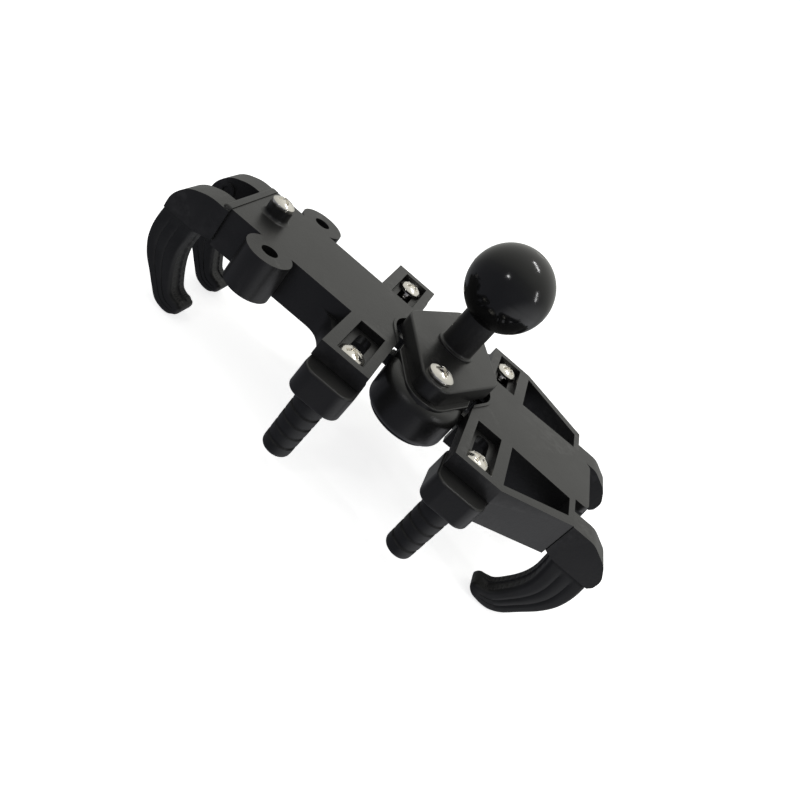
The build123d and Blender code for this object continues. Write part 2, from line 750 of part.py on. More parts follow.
with BuildPart() as right_arm_frame:
    with BuildSketch(Plane.XY.offset(arm_top)):
        with BuildLine():
            Polyline(
                (lug_inner_x, -lug_half_y),
                (lug_outer_x, -lug_half_y),
                (end_rib_x, -end_rib_tip_y),
                (end_rib_x, tongue_front_y),
                (tongue_x, tongue_front_y),
                (tongue_x, tongue_rear_y),
                (end_rib_x, tongue_rear_y),
                (end_rib_x, end_rib_tip_y),
                (lug_outer_x, lug_half_y),
                (lug_inner_x, lug_half_y),
                close=True,
            )
        make_face()
    extrude(amount=-arm_depth)
    fillet(right_arm_frame.edges().filter_by(Axis.Z).sort_by(Axis.X)[-2:], tongue_corner)
    lug_undercut(1)
    # windows through the arm
    for side_y in (-1, 1):
        with BuildSketch(Plane.XY.offset(arm_top)):
            with BuildLine():
                Polyline(
                    (window_near_x, side_y * window_near_y),
                    (window_far_x, side_y * window_far_y),
                    (window_far_x, side_y * window_far_tip_y),
                    (window_near_x, side_y * window_tip_y),
                    close=True,
                )
            make_face()
        extrude(amount=-arm_depth, mode=Mode.SUBTRACT)
    # hollow underside, open towards the middle
    with BuildSketch(Plane.XY.offset(arm_roof_z)):
        with Locations(((tongue_x + 1 + lug_inner_x) / 2, 0)):
            Rectangle(tongue_x + 1 - lug_inner_x, 2 * (window_near_y - arm_wall))
    extrude(amount=-arm_depth, mode=Mode.SUBTRACT)
    # the tongue is only a roof past the end rib
    with BuildSketch(Plane.XY.offset(arm_roof_z)):
        with Locations(((end_rib_x + tongue_x + 1) / 2, 0)):
            Rectangle(tongue_x + 1 - end_rib_x, 2 * lug_half_y)
    extrude(amount=-arm_depth, mode=Mode.SUBTRACT)
    lug_features(1)
    inner_end_cut(1)
    rack_boss(180)
    with BuildSketch(Plane.XY.offset(arm_roof_z)):
        with Locations((flange_screw_x, bracket_screw_y), (flange_screw_x, -bracket_screw_y)):
            Circle(m3_shank_radius + screw_clearance)
    extrude(amount=arm_roof * blind_share + seat_gap, mode=Mode.SUBTRACT)
save(right_arm_frame.part, "right_arm_frame")


# ================================================================ claws
def claw_solid(end_x, outward, outline, centre_y, width):
    """A claw piece from its side outline, with its width centred on centre_y."""
    points = [(end_x + outward * out, arm_top + rise) for out, rise, _ in outline]
    radii = [radius for _, _, radius in outline]
    with BuildPart() as piece:
        with BuildSketch(Plane.XZ.offset(width / 2 - centre_y)):
            with BuildLine():
                FilletPolyline(points, radius=radii, close=True)
            make_face()
        extrude(amount=-width)
    return piece.part


def claw_pin_holes(pin_x, claw_centres):
    """The upright bores that the fingers' steel cores sit in."""
    with BuildSketch(Plane.XY.offset(pin_top + seat_gap)) as bores:
        with Locations([(pin_x, centre_y) for centre_y in claw_centres]):
            Circle(claw_pin_diameter / 2 + seat_gap)
    extrude(bores.sketch, amount=-(pin_length + 2 * seat_gap), mode=Mode.SUBTRACT)


def make_finger(end_x, outward, outline, centre_y, width, pin_x):
    """One rubber finger with its long edges rounded and the bore for its core."""
    with BuildPart() as finger:
        add(claw_solid(end_x, outward, outline, centre_y, width))
        seam_edges = finger.faces().sort_by(Axis.Z)[-1].edges()
        side_edges = finger.faces().filter_by(Axis.Y).edges()
        fillet([e for e in side_edges if not any(e.is_same(s) for s in seam_edges)], claw_edge_round)
        claw_pin_holes(pin_x, [centre_y])
    return finger.part


left_face_x = -(left_end_x + seat_gap)
left_pin_x = left_face_x - left_pin_out
left_claw_centres = (-left_claw_y, left_claw_y)
right_face_x = end_rib_x + seat_gap
right_pin_x = right_face_x + right_pin_out
right_claw_centres = (right_front_claw_y, right_rear_claw_y)
for end_name, claw_y in zip(("front", "rear"), left_claw_centres):
    finger = make_finger(left_face_x, -1, left_finger_outline, claw_y, left_claw_width, left_pin_x)
    save(finger, f"left_finger_{end_name}")
for end_name, claw_y in zip(("front", "rear"), right_claw_centres):
    finger = make_finger(right_face_x, 1, right_finger_outline, claw_y, right_claw_width, right_pin_x)
    save(finger, f"right_finger_{end_name}")

with BuildPart() as left_claw_bracket:
    # crossbar behind the arm's end, standing proud of its top
    with BuildSketch(Plane.YZ.offset(left_face_x)):
        with Locations((0, arm_top + bracket_rise - bracket_height / 2)):
            RectangleRounded(2 * crossbar_half_y, bracket_height, bracket_corner)
    extrude(amount=-bracket_plate)
    fillet(
        left_claw_bracket.edges().filter_by(Axis.Y).group_by(Axis.Z)[-1].sort_by(Axis.X)[0],
        crossbar_round,
    )
    # tongue under the arm's roof
    with BuildSketch(Plane.XY.offset(arm_roof_z - seat_gap)):
        with Locations((left_face_x + left_flange_length / 2 - bracket_plate / 2, 0)):
            Rectangle(left_flange_length + bracket_plate, flange_width)
    extrude(amount=-bracket_tongue)
    for side_y in (-1, 1):
        add(claw_solid(left_face_x, -1, left_root_outline, side_y * left_claw_y, left_claw_width))
        # ring boss on the side that faces the other claw
        with BuildSketch(Plane.XZ.offset(side_y * (left_claw_width / 2 - left_claw_y))):
            with Locations((left_face_x - ring_boss_out, arm_top - ring_boss_depth)):
                Circle(ring_boss_radius)
                Circle(ring_bore_radius, mode=Mode.SUBTRACT)
        extrude(amount=side_y * ring_boss_rise)
    with BuildSketch(Plane.XY.offset(arm_roof_z)):
        with Locations((-clamp_x, 0)):
            Circle(m3_shank_radius + screw_clearance)
    extrude(amount=-(bracket_tongue + 2 * seat_gap), mode=Mode.SUBTRACT)
    claw_pin_holes(left_pin_x, left_claw_centres)
save(left_claw_bracket.part, "left_claw_bracket")

with BuildPart() as right_claw_bracket:
    with BuildSketch(Plane.YZ.offset(right_face_x)):
        bar_top = arm_roof_z - seat_gap
        with Locations(((right_front_claw_y + right_rear_claw_y) / 2, (bar_top + seam_z) / 2)):
            Rectangle(right_rear_claw_y - right_front_claw_y, bar_top - seam_z)
    extrude(amount=bracket_plate)
    with BuildSketch(Plane.XY.offset(arm_roof_z - seat_gap)):
        with Locations(((flange_inner_x + right_face_x + bracket_plate) / 2, 0)):
            Rectangle(
                right_face_x + bracket_plate - flange_inner_x,
                2 * (window_near_y - arm_wall - slide_clearance),
            )
    extrude(amount=-flange_thickness)
    for claw_y in right_claw_centres:
        add(claw_solid(right_face_x, 1, right_root_outline, claw_y, right_claw_width))
    with BuildSketch(Plane.XY.offset(arm_roof_z)):
        with Locations((flange_screw_x, bracket_screw_y), (flange_screw_x, -bracket_screw_y)):
            Circle(m3_shank_radius + screw_clearance)
    extrude(amount=-(flange_thickness + 2 * seat_gap), mode=Mode.SUBTRACT)
    claw_pin_holes(right_pin_x, right_claw_centres)
save(right_claw_bracket.part, "right_claw_bracket")


def claw_pins(pin_x, claw_centres):
    """The two steel cores that hold the rubber fingers to their claw roots."""
    with BuildPart() as pins:
        with BuildSketch(Plane.XY.offset(pin_top)):
            with Locations([(pin_x, centre_y) for centre_y in claw_centres]):
                Circle(claw_pin_diameter / 2)
        extrude(amount=-pin_length)
    return pins.part


save(claw_pins(left_pin_x, left_claw_centres), "left_claw_pins")
save(claw_pins(right_pin_x, right_claw_centres), "right_claw_pins")

left_clamp_screw = pan_screw(
    Plane((-clamp_x, 0, arm_top + clamp_post_rise + seat_gap), z_dir=(0, 0, 1)),
    clamp_head_radius,
    clamp_head_height,
    m3_shank_radius,
    clamp_post_rise + arm_roof + bracket_tongue + nut_height + 2 * seat_gap,
)
save(left_clamp_screw, "left_clamp_screw")

with BuildPart() as left_clamp_nut:
    with BuildSketch(Plane.XY.offset(arm_roof_z - bracket_tongue - 3 * seat_gap)):
        with Locations((-clamp_x, 0)):
            RegularPolygon(nut_flats / 2, 6, major_radius=False)
            Circle(m3_shank_radius + screw_clearance, mode=Mode.SUBTRACT)
    extrude(amount=-nut_height)
save(left_clamp_nut.part, "left_clamp_nut")

right_bracket_screws = Part() + [
    pan_screw(
        Plane(
            (flange_screw_x, side * bracket_screw_y, arm_roof_z - flange_thickness - 2 * seat_gap),
            z_dir=(0, 0, -1),
        ),
        m3_head_radius,
        m3_head_height,
        m3_shank_radius,
        flange_thickness + arm_roof * blind_share,
    )
    for side in (-1, 1)
]
save(right_bracket_screws, "right_bracket_screws")


# ================================================================ sliding posts
def make_carrier():
    """The block that slides under a lug: front left one, before it is mirrored to its place."""
    with BuildPart() as carrier:
        with BuildSketch(Plane.XY.offset(carrier_top)):
            with Locations((0, (carrier_inner_y + carrier_outer_y) / 2)):
                RectangleRounded(2 * carrier_half_x, carrier_outer_y - carrier_inner_y, carrier_corner)
        extrude(amount=-carrier_height)
        fillet(carrier.faces().sort_by(Axis.Z)[-1].edges(), carrier_top_round)
        fillet(carrier.faces().sort_by(Axis.Z)[0].edges(), carrier_floor_round)
        with BuildSketch(Plane.XY.offset(carrier_top)):
            with Locations((0, post_screw_y)):
                Circle(m4_shank_radius + screw_clearance)
        extrude(amount=-carrier_height, mode=Mode.SUBTRACT)
        with BuildSketch(Plane.XY.offset(carrier_floor)):
            with Locations((0, stud_y)):
                Circle(stud_diameter / 2 + screw_clearance)
        extrude(amount=stud_root, mode=Mode.SUBTRACT)
    return carrier.part


def make_sleeve():
    """The rubber sleeve of a post, slightly tapered, with shallow rings and a rounded closed tip."""
    sleeve_top = carrier_floor - seat_gap
    taper = (sleeve_top_radius - sleeve_tip_radius) / sleeve_length
    with BuildPart() as sleeve:
        with BuildSketch(Plane.XZ):
            with BuildLine():
                Polyline(
                    (0, sleeve_top),
                    (sleeve_top_radius, sleeve_top),
                    (sleeve_tip_radius, sleeve_top - sleeve_length),
                    (0, sleeve_top - sleeve_length),
                    close=True,
                )
            make_face()
            for ring in range(1, sleeve_rings + 1):
                drop = sleeve_ring_spacing * ring
                with Locations((sleeve_top_radius - taper * drop, sleeve_top - drop)):
                    Rectangle(2 * sleeve_ring_depth, sleeve_ring_width, mode=Mode.SUBTRACT)
        revolve(axis=Axis.Z)
        fillet(sleeve.faces().sort_by(Axis.Z)[0].edges(), sleeve_tip_round)
        with BuildSketch(Plane.XY.offset(sleeve_top)):
            Circle(stud_diameter / 2 + seat_gap)
        extrude(amount=-(sleeve_length - sleeve_wall_below), mode=Mode.SUBTRACT)
    return Location((0, stud_y, 0)) * sleeve.part


def make_stud():
    """The steel stud inside a sleeve, pressed up into the carrier."""
    with BuildPart() as stud:
        with BuildSketch(Plane.XY.offset(carrier_floor + stud_root - seat_gap)):
            with Locations((0, stud_y)):
                Circle(stud_diameter / 2)
        extrude(amount=-(stud_root + sleeve_length - sleeve_wall_below - 3 * seat_gap))
    return stud.part


post_screw_seat = pocket_z + seat_gap
post_screw_length = post_screw_seat - carrier_floor - hole_run_out
for arm_name, side_x in (("left", -1), ("right", 1)):
    for end_name, side_y in (("front", -1), ("rear", 1)):
        corner = f"{arm_name}_{end_name}"
        post_screw = pan_screw(
            Plane((0, post_screw_y, post_screw_seat), z_dir=(0, 0, 1)),
            m4_head_radius,
            m4_head_height,
            m4_shank_radius,
            post_screw_length,
        )
        for piece, piece_name in (
            (make_carrier(), "carrier"),
            (make_sleeve(), "sleeve"),
            (make_stud(), "stud"),
            (post_screw, "post_screw"),
        ):
            placed = Location((side_x * slot_x, 0, 0)) * piece
            if side_y < 0:
                placed = Location((side_x * slot_x * 2, 0, 0), (0, 0, 180)) * placed
            save(placed, f"{corner}_{piece_name}")
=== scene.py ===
import json
import logging
import math
from dataclasses import dataclass, field
from enum import Enum
from typing import Iterable, Sequence

import bmesh
import bpy
import numpy as np
from mathutils import Matrix, Vector

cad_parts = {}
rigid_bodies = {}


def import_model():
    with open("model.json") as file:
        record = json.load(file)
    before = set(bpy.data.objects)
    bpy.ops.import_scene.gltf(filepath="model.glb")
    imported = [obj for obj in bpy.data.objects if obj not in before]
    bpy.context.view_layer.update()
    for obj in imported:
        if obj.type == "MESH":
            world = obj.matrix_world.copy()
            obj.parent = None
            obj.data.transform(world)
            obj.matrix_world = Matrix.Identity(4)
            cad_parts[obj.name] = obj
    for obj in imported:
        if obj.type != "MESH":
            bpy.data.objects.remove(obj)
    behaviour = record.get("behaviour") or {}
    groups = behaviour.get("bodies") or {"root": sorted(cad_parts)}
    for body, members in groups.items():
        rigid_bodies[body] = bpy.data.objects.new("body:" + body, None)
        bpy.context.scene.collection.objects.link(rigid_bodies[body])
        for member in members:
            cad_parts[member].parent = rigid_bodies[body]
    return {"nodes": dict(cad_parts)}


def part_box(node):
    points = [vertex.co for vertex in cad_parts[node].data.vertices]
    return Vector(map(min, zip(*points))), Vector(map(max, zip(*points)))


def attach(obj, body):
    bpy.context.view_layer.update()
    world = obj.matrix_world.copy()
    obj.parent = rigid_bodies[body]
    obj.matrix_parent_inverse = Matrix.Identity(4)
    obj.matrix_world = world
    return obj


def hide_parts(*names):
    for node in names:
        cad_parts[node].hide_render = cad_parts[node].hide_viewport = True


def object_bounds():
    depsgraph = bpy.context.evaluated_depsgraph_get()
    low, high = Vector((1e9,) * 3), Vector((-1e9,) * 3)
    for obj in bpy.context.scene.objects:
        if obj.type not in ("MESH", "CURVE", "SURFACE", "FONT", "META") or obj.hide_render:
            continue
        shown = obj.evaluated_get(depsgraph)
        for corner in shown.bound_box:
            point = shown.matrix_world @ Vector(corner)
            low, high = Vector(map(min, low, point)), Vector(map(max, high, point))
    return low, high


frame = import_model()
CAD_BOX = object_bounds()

LOG = logging.getLogger("cradle")
MM = 0.001
MERGE_STEP = 2e-6
FLAT_DEGREES = 0.6
Point = tuple[float, float, float]
Pair = tuple[float, float]


# ------------------------------------------------------------------ shader expressions
@dataclass(frozen=True)
class Value:
    """A shader socket that takes part in arithmetic.

    Args:
        nodes: the graph that the socket belongs to.
        socket: the output socket.
    """

    nodes: "Graph"
    socket: bpy.types.NodeSocket

    def _math(self, operation: str, first: object, second: object) -> "Value":
        """One Math node."""
        return self.nodes.add("ShaderNodeMath", {"operation": operation}, {0: first, 1: second})

    def __add__(self, other: object) -> "Value":
        """self + other."""
        return self._math("ADD", self, other)

    def __radd__(self, other: object) -> "Value":
        """other + self."""
        return self._math("ADD", other, self)

    def __sub__(self, other: object) -> "Value":
        """self - other."""
        return self._math("SUBTRACT", self, other)

    def __rsub__(self, other: object) -> "Value":
        """other - self."""
        return self._math("SUBTRACT", other, self)

    def __mul__(self, other: object) -> "Value":
        """self * other."""
        return self._math("MULTIPLY", self, other)

    def __rmul__(self, other: object) -> "Value":
        """other * self."""
        return self._math("MULTIPLY", other, self)

    def __pow__(self, other: object) -> "Value":
        """self to a power."""
        return self._math("POWER", self, other)

    def clipped(self, low: float, high: float) -> "Value":
        """Remapped so that low becomes 0 and high becomes 1, and held between them."""
        return self.nodes.add(
            "ShaderNodeMapRange",
            {"clamp": True},
            {"Value": self, "From Min": low, "From Max": high},
        )


def feed(tree: bpy.types.NodeTree, socket: bpy.types.NodeSocket, content: object) -> None:
    """Link something to a socket, or set its number.

    Args:
        tree: the tree that the socket is in.
        socket: the input socket.
        content: a Value, an output socket, a number or a tuple.
    """
    if isinstance(content, Value):
        content = content.socket
    if isinstance(content, bpy.types.NodeSocket):
        tree.links.new(content, socket)
    else:
        socket.default_value = content


def add_node(
    tree: bpy.types.NodeTree,
    kind: str,
    settings: dict[str, object] | None = None,
    inputs: dict[object, object] | None = None,
) -> bpy.types.Node:
    """Add a node to a tree, with its settings made first and then its sockets.

    Args:
        tree: the tree.
        kind: the node's type.
        settings: its attributes; "stops" gives a colour ramp's (place, colour) pairs.
        inputs: what its sockets are fed, by name or place.

    Returns:
        The node.
    """
    node = tree.nodes.new(kind)
    for key, setting in (settings or {}).items():
        if key == "stops":
            ramp = node.color_ramp
            while len(ramp.elements) < len(setting):
                ramp.elements.new(0.5)
            for element, (place, colour) in zip(ramp.elements, setting):
                element.position = place
                element.color = (*colour, 1.0)
        else:
            setattr(node, key, setting)
    for key, content in (inputs or {}).items():
        feed(tree, node.inputs[key], content)
    return node


class Graph:
    """The node graph of one material."""

    def __init__(self, name: str) -> None:
        """Start an empty material that holds a shader and its output.

        Args:
            name: the material's name.
        """
        self.material = bpy.data.materials.new(name)
        self.material.use_nodes = True
        self.tree = self.material.node_tree
        self.tree.nodes.clear()
        self.shader = self.tree.nodes.new("ShaderNodeBsdfPrincipled")
        output = self.tree.nodes.new("ShaderNodeOutputMaterial")
        self.tree.links.new(self.shader.outputs["BSDF"], output.inputs["Surface"])

    def add(
        self,
        kind: str,
        settings: dict[str, object] | None = None,
        inputs: dict[object, object] | None = None,
        output: int | str = 0,
    ) -> Value:
        """Add a node, with its settings made first and then its sockets.

        Args:
            kind: the node's type.
            settings: its attributes.
            inputs: numbers, tuples or values for its sockets, by name or place.
            output: the output to return.

        Returns:
            The chosen output.
        """
        return Value(self, add_node(self.tree, kind, settings, inputs).outputs[output])

    def place(self, scale: Point = (1.0, 1.0, 1.0)) -> Value:
        """Object coordinates, stretched.

        Args:
            scale: stretch along each axis.

        Returns:
            The coordinates.
        """
        where = self.add("ShaderNodeTexCoord", output="Object")
        return self.add("ShaderNodeMapping", None, {"Vector": where, "Scale": scale})

    def noise(self, where: Value, per_metre: float, detail: float = 2.0, rough: float = 0.5) -> Value:
        """Fractal noise in 0 to 1.

        Args:
            where: coordinates.
            per_metre: features to a metre.
            detail: octaves.
            rough: weight of the finer octaves.

        Returns:
            The noise.
        """
        return self.add(
            "ShaderNodeTexNoise",
            None,
            {"Vector": where, "Scale": per_metre, "Detail": detail, "Roughness": rough},
        )

    def mix(self, share: Value, first: object, second: object) -> Value:
        """A colour between two colours.

        Args:
            share: 0 for the first and 1 for the second.
            first: colour or value.
            second: colour or value.

        Returns:
            The colour.
        """
        return self.add(
            "ShaderNodeMix", {"data_type": "RGBA"}, {0: share, 6: first, 7: second}, output=2
        )

    def bump(self, height: Value, depth: float, strength: float = 1.0, under: Value | None = None) -> Value:
        """A bumped normal.

        Args:
            height: the relief, 0 to 1.
            depth: its depth in metres.
            strength: how much of it shows.
            under: a coarser bump that this one adds to.

        Returns:
            The normal.
        """
        inputs: dict[object, object] = {"Height": height, "Distance": depth, "Strength": strength}
        if under is not None:
            inputs["Normal"] = under
        return self.add("ShaderNodeBump", None, inputs)

    def finish(self, fixed: dict[str, object], varied: dict[str, Value]) -> bpy.types.Material:
        """Set the shader's sockets.

        Args:
            fixed: constants by socket name.
            varied: linked values by socket name.

        Returns:
            The material.
        """
        for name, content in {**fixed, **varied}.items():
            feed(self.tree, self.shader.inputs[name], content)
        return self.material


def grey(level: float, warm: float = 0.0) -> tuple[float, float, float, float]:
    """A near-neutral colour.

    Args:
        level: linear brightness.
        warm: how far red stands above blue, as a share.

    Returns:
        The colour with full alpha.
    """
    return (level * (1 + warm), level, level * (1 - warm), 1.0)


# ------------------------------------------------------------------ finishes
@dataclass(frozen=True)
class PowderCoat:
    """Satin black powder coat on a die casting: fine orange peel, and convex edges painted lighter in
    patches, partly rubbed wear and partly a painted edge highlight.
    """

    name: str = "satin_black_coat"
    film: float = 0.0105
    cloudy: float = 0.0165
    # the lighter tone for convex edges: partly rubbed wear, partly a painted highlight along the edges
    rubbed_and_painted_highlight: float = 0.05
    gloss_roughness: float = 0.36

    def build(self) -> bpy.types.Material:
        """Make the material."""
        graph = Graph(self.name)
        where = graph.place()
        cloud = graph.noise(where, 85.0, 3.0, 0.55)
        peel = graph.noise(where, 1350.0, 2.0, 0.45)
        grain = graph.noise(where, 5200.0, 1.0)
        pits = graph.noise(where, 620.0, 2.0).clipped(0.68, 0.8)
        edge = graph.add("ShaderNodeNewGeometry", output="Pointiness")
        # painted highlight: convex edges found by pointiness are lightened in noisy patches, standing in
        # for the highlights on rounded edges as well as for rubbed wear
        scuff_and_highlight_patches = graph.noise(where, 420.0, 4.0, 0.65).clipped(0.42, 0.68)
        wear_and_painted_highlight = edge.clipped(0.53, 0.62) * scuff_and_highlight_patches
        colour = graph.mix(cloud.clipped(0.3, 0.7), grey(self.film, 0.02), grey(self.cloudy, 0.03))
        colour = graph.mix(wear_and_painted_highlight * 0.55, colour, grey(self.rubbed_and_painted_highlight, 0.02))
        rough = self.gloss_roughness + (cloud - 0.5) * 0.16 + (grain - 0.5) * 0.12 - wear_and_painted_highlight * 0.06
        relief = graph.bump(peel, 0.00006, 0.5)
        relief = graph.bump(grain, 0.000018, 0.6, relief)
        relief = graph.bump(1.0 - pits, 0.00004, 0.3, relief)
        return graph.finish(
            {"Specular IOR Level": 0.5, "IOR": 1.5},
            {"Base Color": colour, "Roughness": rough, "Normal": relief},
        )


@dataclass(frozen=True)
class Rubber:
    """Moulded rubber: a dusty charcoal skin over a fine spark-eroded grain."""

    name: str = "charcoal_rubber"
    skin: float = 0.0085
    dusty: float = 0.019
    roughness: float = 0.5
    grain_per_metre: float = 2600.0
    grain_depth: float = 0.00005

    def build(self) -> bpy.types.Material:
        """Make the material."""
        graph = Graph(self.name)
        where = graph.place()
        cloud = graph.noise(where, 140.0, 4.0, 0.6)
        grain = graph.noise(where, self.grain_per_metre, 2.0)
        dust = graph.noise(where, 900.0, 3.0, 0.7).clipped(0.5, 0.75)
        fleck = graph.add(
            "ShaderNodeTexVoronoi", {"feature": "F1"}, {"Vector": where, "Scale": 1500.0}
        )
        colour = graph.mix(cloud.clipped(0.35, 0.7), grey(self.skin), grey(self.dusty, -0.02))
        colour = graph.mix(dust * 0.25, colour, grey(self.dusty * 1.7, 0.02))
        rough = self.roughness + (cloud - 0.5) * 0.2 + dust * 0.08
        relief = graph.bump(grain, self.grain_depth, 0.6)
        relief = graph.bump(fleck, self.grain_depth * 0.5, 0.25, relief)
        return graph.finish(
            {"Specular IOR Level": 0.42},
            {"Base Color": colour, "Roughness": rough, "Normal": relief},
        )


@dataclass(frozen=True)
class GlossRubber:
    """Polished black rubber of the ball: deep, with faint mould haze and hairline scuffs."""

    name: str = "polished_ball_rubber"
    skin: float = 0.0075
    haze: float = 0.0135
    roughness: float = 0.13

    def build(self) -> bpy.types.Material:
        """Make the material."""
        graph = Graph(self.name)
        where = graph.place()
        haze = graph.noise(where, 95.0, 3.0, 0.6)
        hair = graph.noise(graph.place((1.0, 9.0, 1.4)), 900.0, 2.0, 0.6).clipped(0.6, 0.72)
        grain = graph.noise(where, 3600.0, 1.0)
        colour = graph.mix(haze.clipped(0.35, 0.75), grey(self.skin), grey(self.haze, 0.01))
        rough = self.roughness + (haze - 0.5) * 0.1 + hair * 0.12
        relief = graph.bump(hair, 0.000006, 0.25)
        relief = graph.bump(grain, 0.000008, 0.35, relief)
        return graph.finish(
            {"Specular IOR Level": 0.5, "Coat Roughness": 0.06},
            {"Base Color": colour, "Roughness": rough, "Normal": relief},
        )


class Metal(Enum):
    """Metal finishes: linear colour, roughness and the direction its marks run in."""

    NICKEL = ("bright_nickel", (0.84, 0.81, 0.75, 1.0), 0.17, (1.0, 1.0, 1.0))
    STEEL = ("turned_steel", (0.50, 0.50, 0.51, 1.0), 0.33, (1.0, 1.0, 14.0))
    BLUED = ("blued_spring", (0.20, 0.22, 0.28, 1.0), 0.28, (1.0, 1.0, 9.0))


@dataclass(frozen=True)
class MetalFinish:
    """Plated or turned metal with fine tool marks, smears and a little grime."""

    metal: Metal

    def build(self) -> bpy.types.Material:
        """Make the material."""
        name, colour, roughness, marks = self.metal.value
        graph = Graph(name)
        where = graph.place()
        lines = graph.noise(graph.place(marks), 2400.0, 2.0, 0.6)
        smear = graph.noise(where, 520.0, 3.0, 0.6)
        grime = graph.noise(where, 1100.0, 4.0, 0.6).clipped(0.6, 0.78)
        dull = tuple(0.42 * part for part in colour[:3]) + (1.0,)
        tint = graph.mix(grime * 0.5, colour, dull)
        rough = roughness + (smear - 0.5) * 0.16 + (lines - 0.5) * 0.14 + grime * 0.18
        relief = graph.bump(lines, 0.000012, 0.4)
        return graph.finish(
            {"Metallic": 1.0}, {"Base Color": tint, "Roughness": rough, "Normal": relief}
        )


@dataclass(frozen=True)
class Acetal:
    """Black moulded acetal of the gear and racks, with a trace of grease."""

    name: str = "black_acetal"

    def build(self) -> bpy.types.Material:
        """Make the material."""
        graph = Graph(self.name)
        where = graph.place()
        cloud = graph.noise(where, 120.0, 3.0)
        grease = graph.noise(where, 300.0, 3.0, 0.6).clipped(0.5, 0.7)
        colour = graph.mix(cloud, grey(0.012), grey(0.022))
        colour = graph.mix(grease * 0.35, colour, (0.030, 0.026, 0.018, 1.0))
        rough = 0.42 + (cloud - 0.5) * 0.1 - grease * 0.2
        return graph.finish(
            {"Subsurface Weight": 0.0},
            {"Base Color": colour, "Roughness": rough, "Normal": graph.bump(cloud, 0.00002, 0.3)},
        )


@dataclass(frozen=True)
class StudioPaper:
    """The pale seamless floor."""

    name: str = "studio_paper"
    level: float = 0.92
    glow: float = 0.85

    def build(self) -> bpy.types.Material:
        """Make the material."""
        graph = Graph(self.name)
        fibre = graph.noise(graph.place(), 14.0, 2.0)
        colour = graph.mix(fibre, grey(self.level), grey(self.level * 0.985))
        return graph.finish(
            {"Roughness": 0.9, "Specular IOR Level": 0.1, "Emission Strength": self.glow},
            {"Base Color": colour, "Emission Color": colour},
        )


# ------------------------------------------------------------------ mesh helpers
def new_object(name: str, mesh: bpy.types.Mesh) -> bpy.types.Object:
    """Link a mesh into the scene as an object at the origin.

    Args:
        name: the piece's name.
        mesh: its mesh.

    Returns:
        The object.
    """
    piece = bpy.data.objects.new(name, mesh)
    bpy.context.scene.collection.objects.link(piece)
    return piece


def baked(piece: bpy.types.Object, name: str | None = None) -> bpy.types.Object:
    """Replace an object that has modifiers with a plain one that holds the result.

    Args:
        piece: the object with its modifiers.
        name: the name of the result, or None for the same.

    Returns:
        The plain object.
    """
    bpy.context.view_layer.update()
    graph = bpy.context.evaluated_depsgraph_get()
    mesh = bpy.data.meshes.new_from_object(
        piece.evaluated_get(graph), preserve_all_data_layers=True, depsgraph=graph
    )
    name = name or piece.name
    bpy.data.objects.remove(piece)
    mesh.name = name
    return new_object(name, mesh)


def shade(mesh: bpy.types.Mesh, sharp_degrees: float = 32.0) -> None:
    """Smooth shading, kept sharp over steep edges.

    Args:
        mesh: the mesh to shade.
        sharp_degrees: edges steeper than this stay sharp.
    """
    mesh.shade_smooth()
    mesh.set_sharp_from_angle(angle=math.radians(sharp_degrees))


def cad_copy(node: str) -> bpy.types.Mesh:
    """A merged copy of a CAD node's loose triangles, with its flat faces joined up.

    Args:
        node: the CAD node.

    Returns:
        The copy.
    """
    source = frame["nodes"][node].data
    shape = bmesh.new()
    corners: dict[tuple[int, int, int], bmesh.types.BMVert] = {}
    vertex: list[bmesh.types.BMVert] = []
    for v in source.vertices:
        key = tuple(round(part / MERGE_STEP) for part in v.co)
        if key not in corners:
            corners[key] = shape.verts.new(v.co)
        vertex.append(corners[key])
    for polygon in source.polygons:
        loop = [vertex[i] for i in polygon.vertices]
        if len(set(loop)) == len(loop) and shape.faces.get(loop) is None:
            shape.faces.new(loop)
    flat = math.radians(FLAT_DEGREES)
    bmesh.ops.dissolve_limit(shape, angle_limit=flat, verts=shape.verts, edges=shape.edges)
    return closed_mesh(shape, node + "_copy", outwards=False)


def closed_mesh(shape: bmesh.types.BMesh, name: str, outwards: bool = True) -> bpy.types.Mesh:
    """Turn a bmesh into a mesh and free it.

    Args:
        shape: the bmesh.
        name: the mesh's name.
        outwards: True to turn its faces outwards first.

    Returns:
        The mesh.
    """
    if outwards:
        bmesh.ops.recalc_face_normals(shape, faces=shape.faces)
    mesh = bpy.data.meshes.new(name)
    shape.to_mesh(mesh)
    shape.free()
    return mesh


def skin(shape: bmesh.types.BMesh, rings: Sequence[Sequence[bmesh.types.BMVert]]) -> None:
    """Join equal rings of points with faces and close both ends.

    Args:
        shape: the bmesh that holds the points.
        rings: the rings in order.
    """
    size = len(rings[0])
    for a, b in zip(rings, rings[1:]):
        for i in range(size):
            j = (i + 1) % size
            shape.faces.new((a[i], a[j], b[j], b[i]))
    shape.faces.new(rings[0][::-1])
    shape.faces.new(rings[-1])


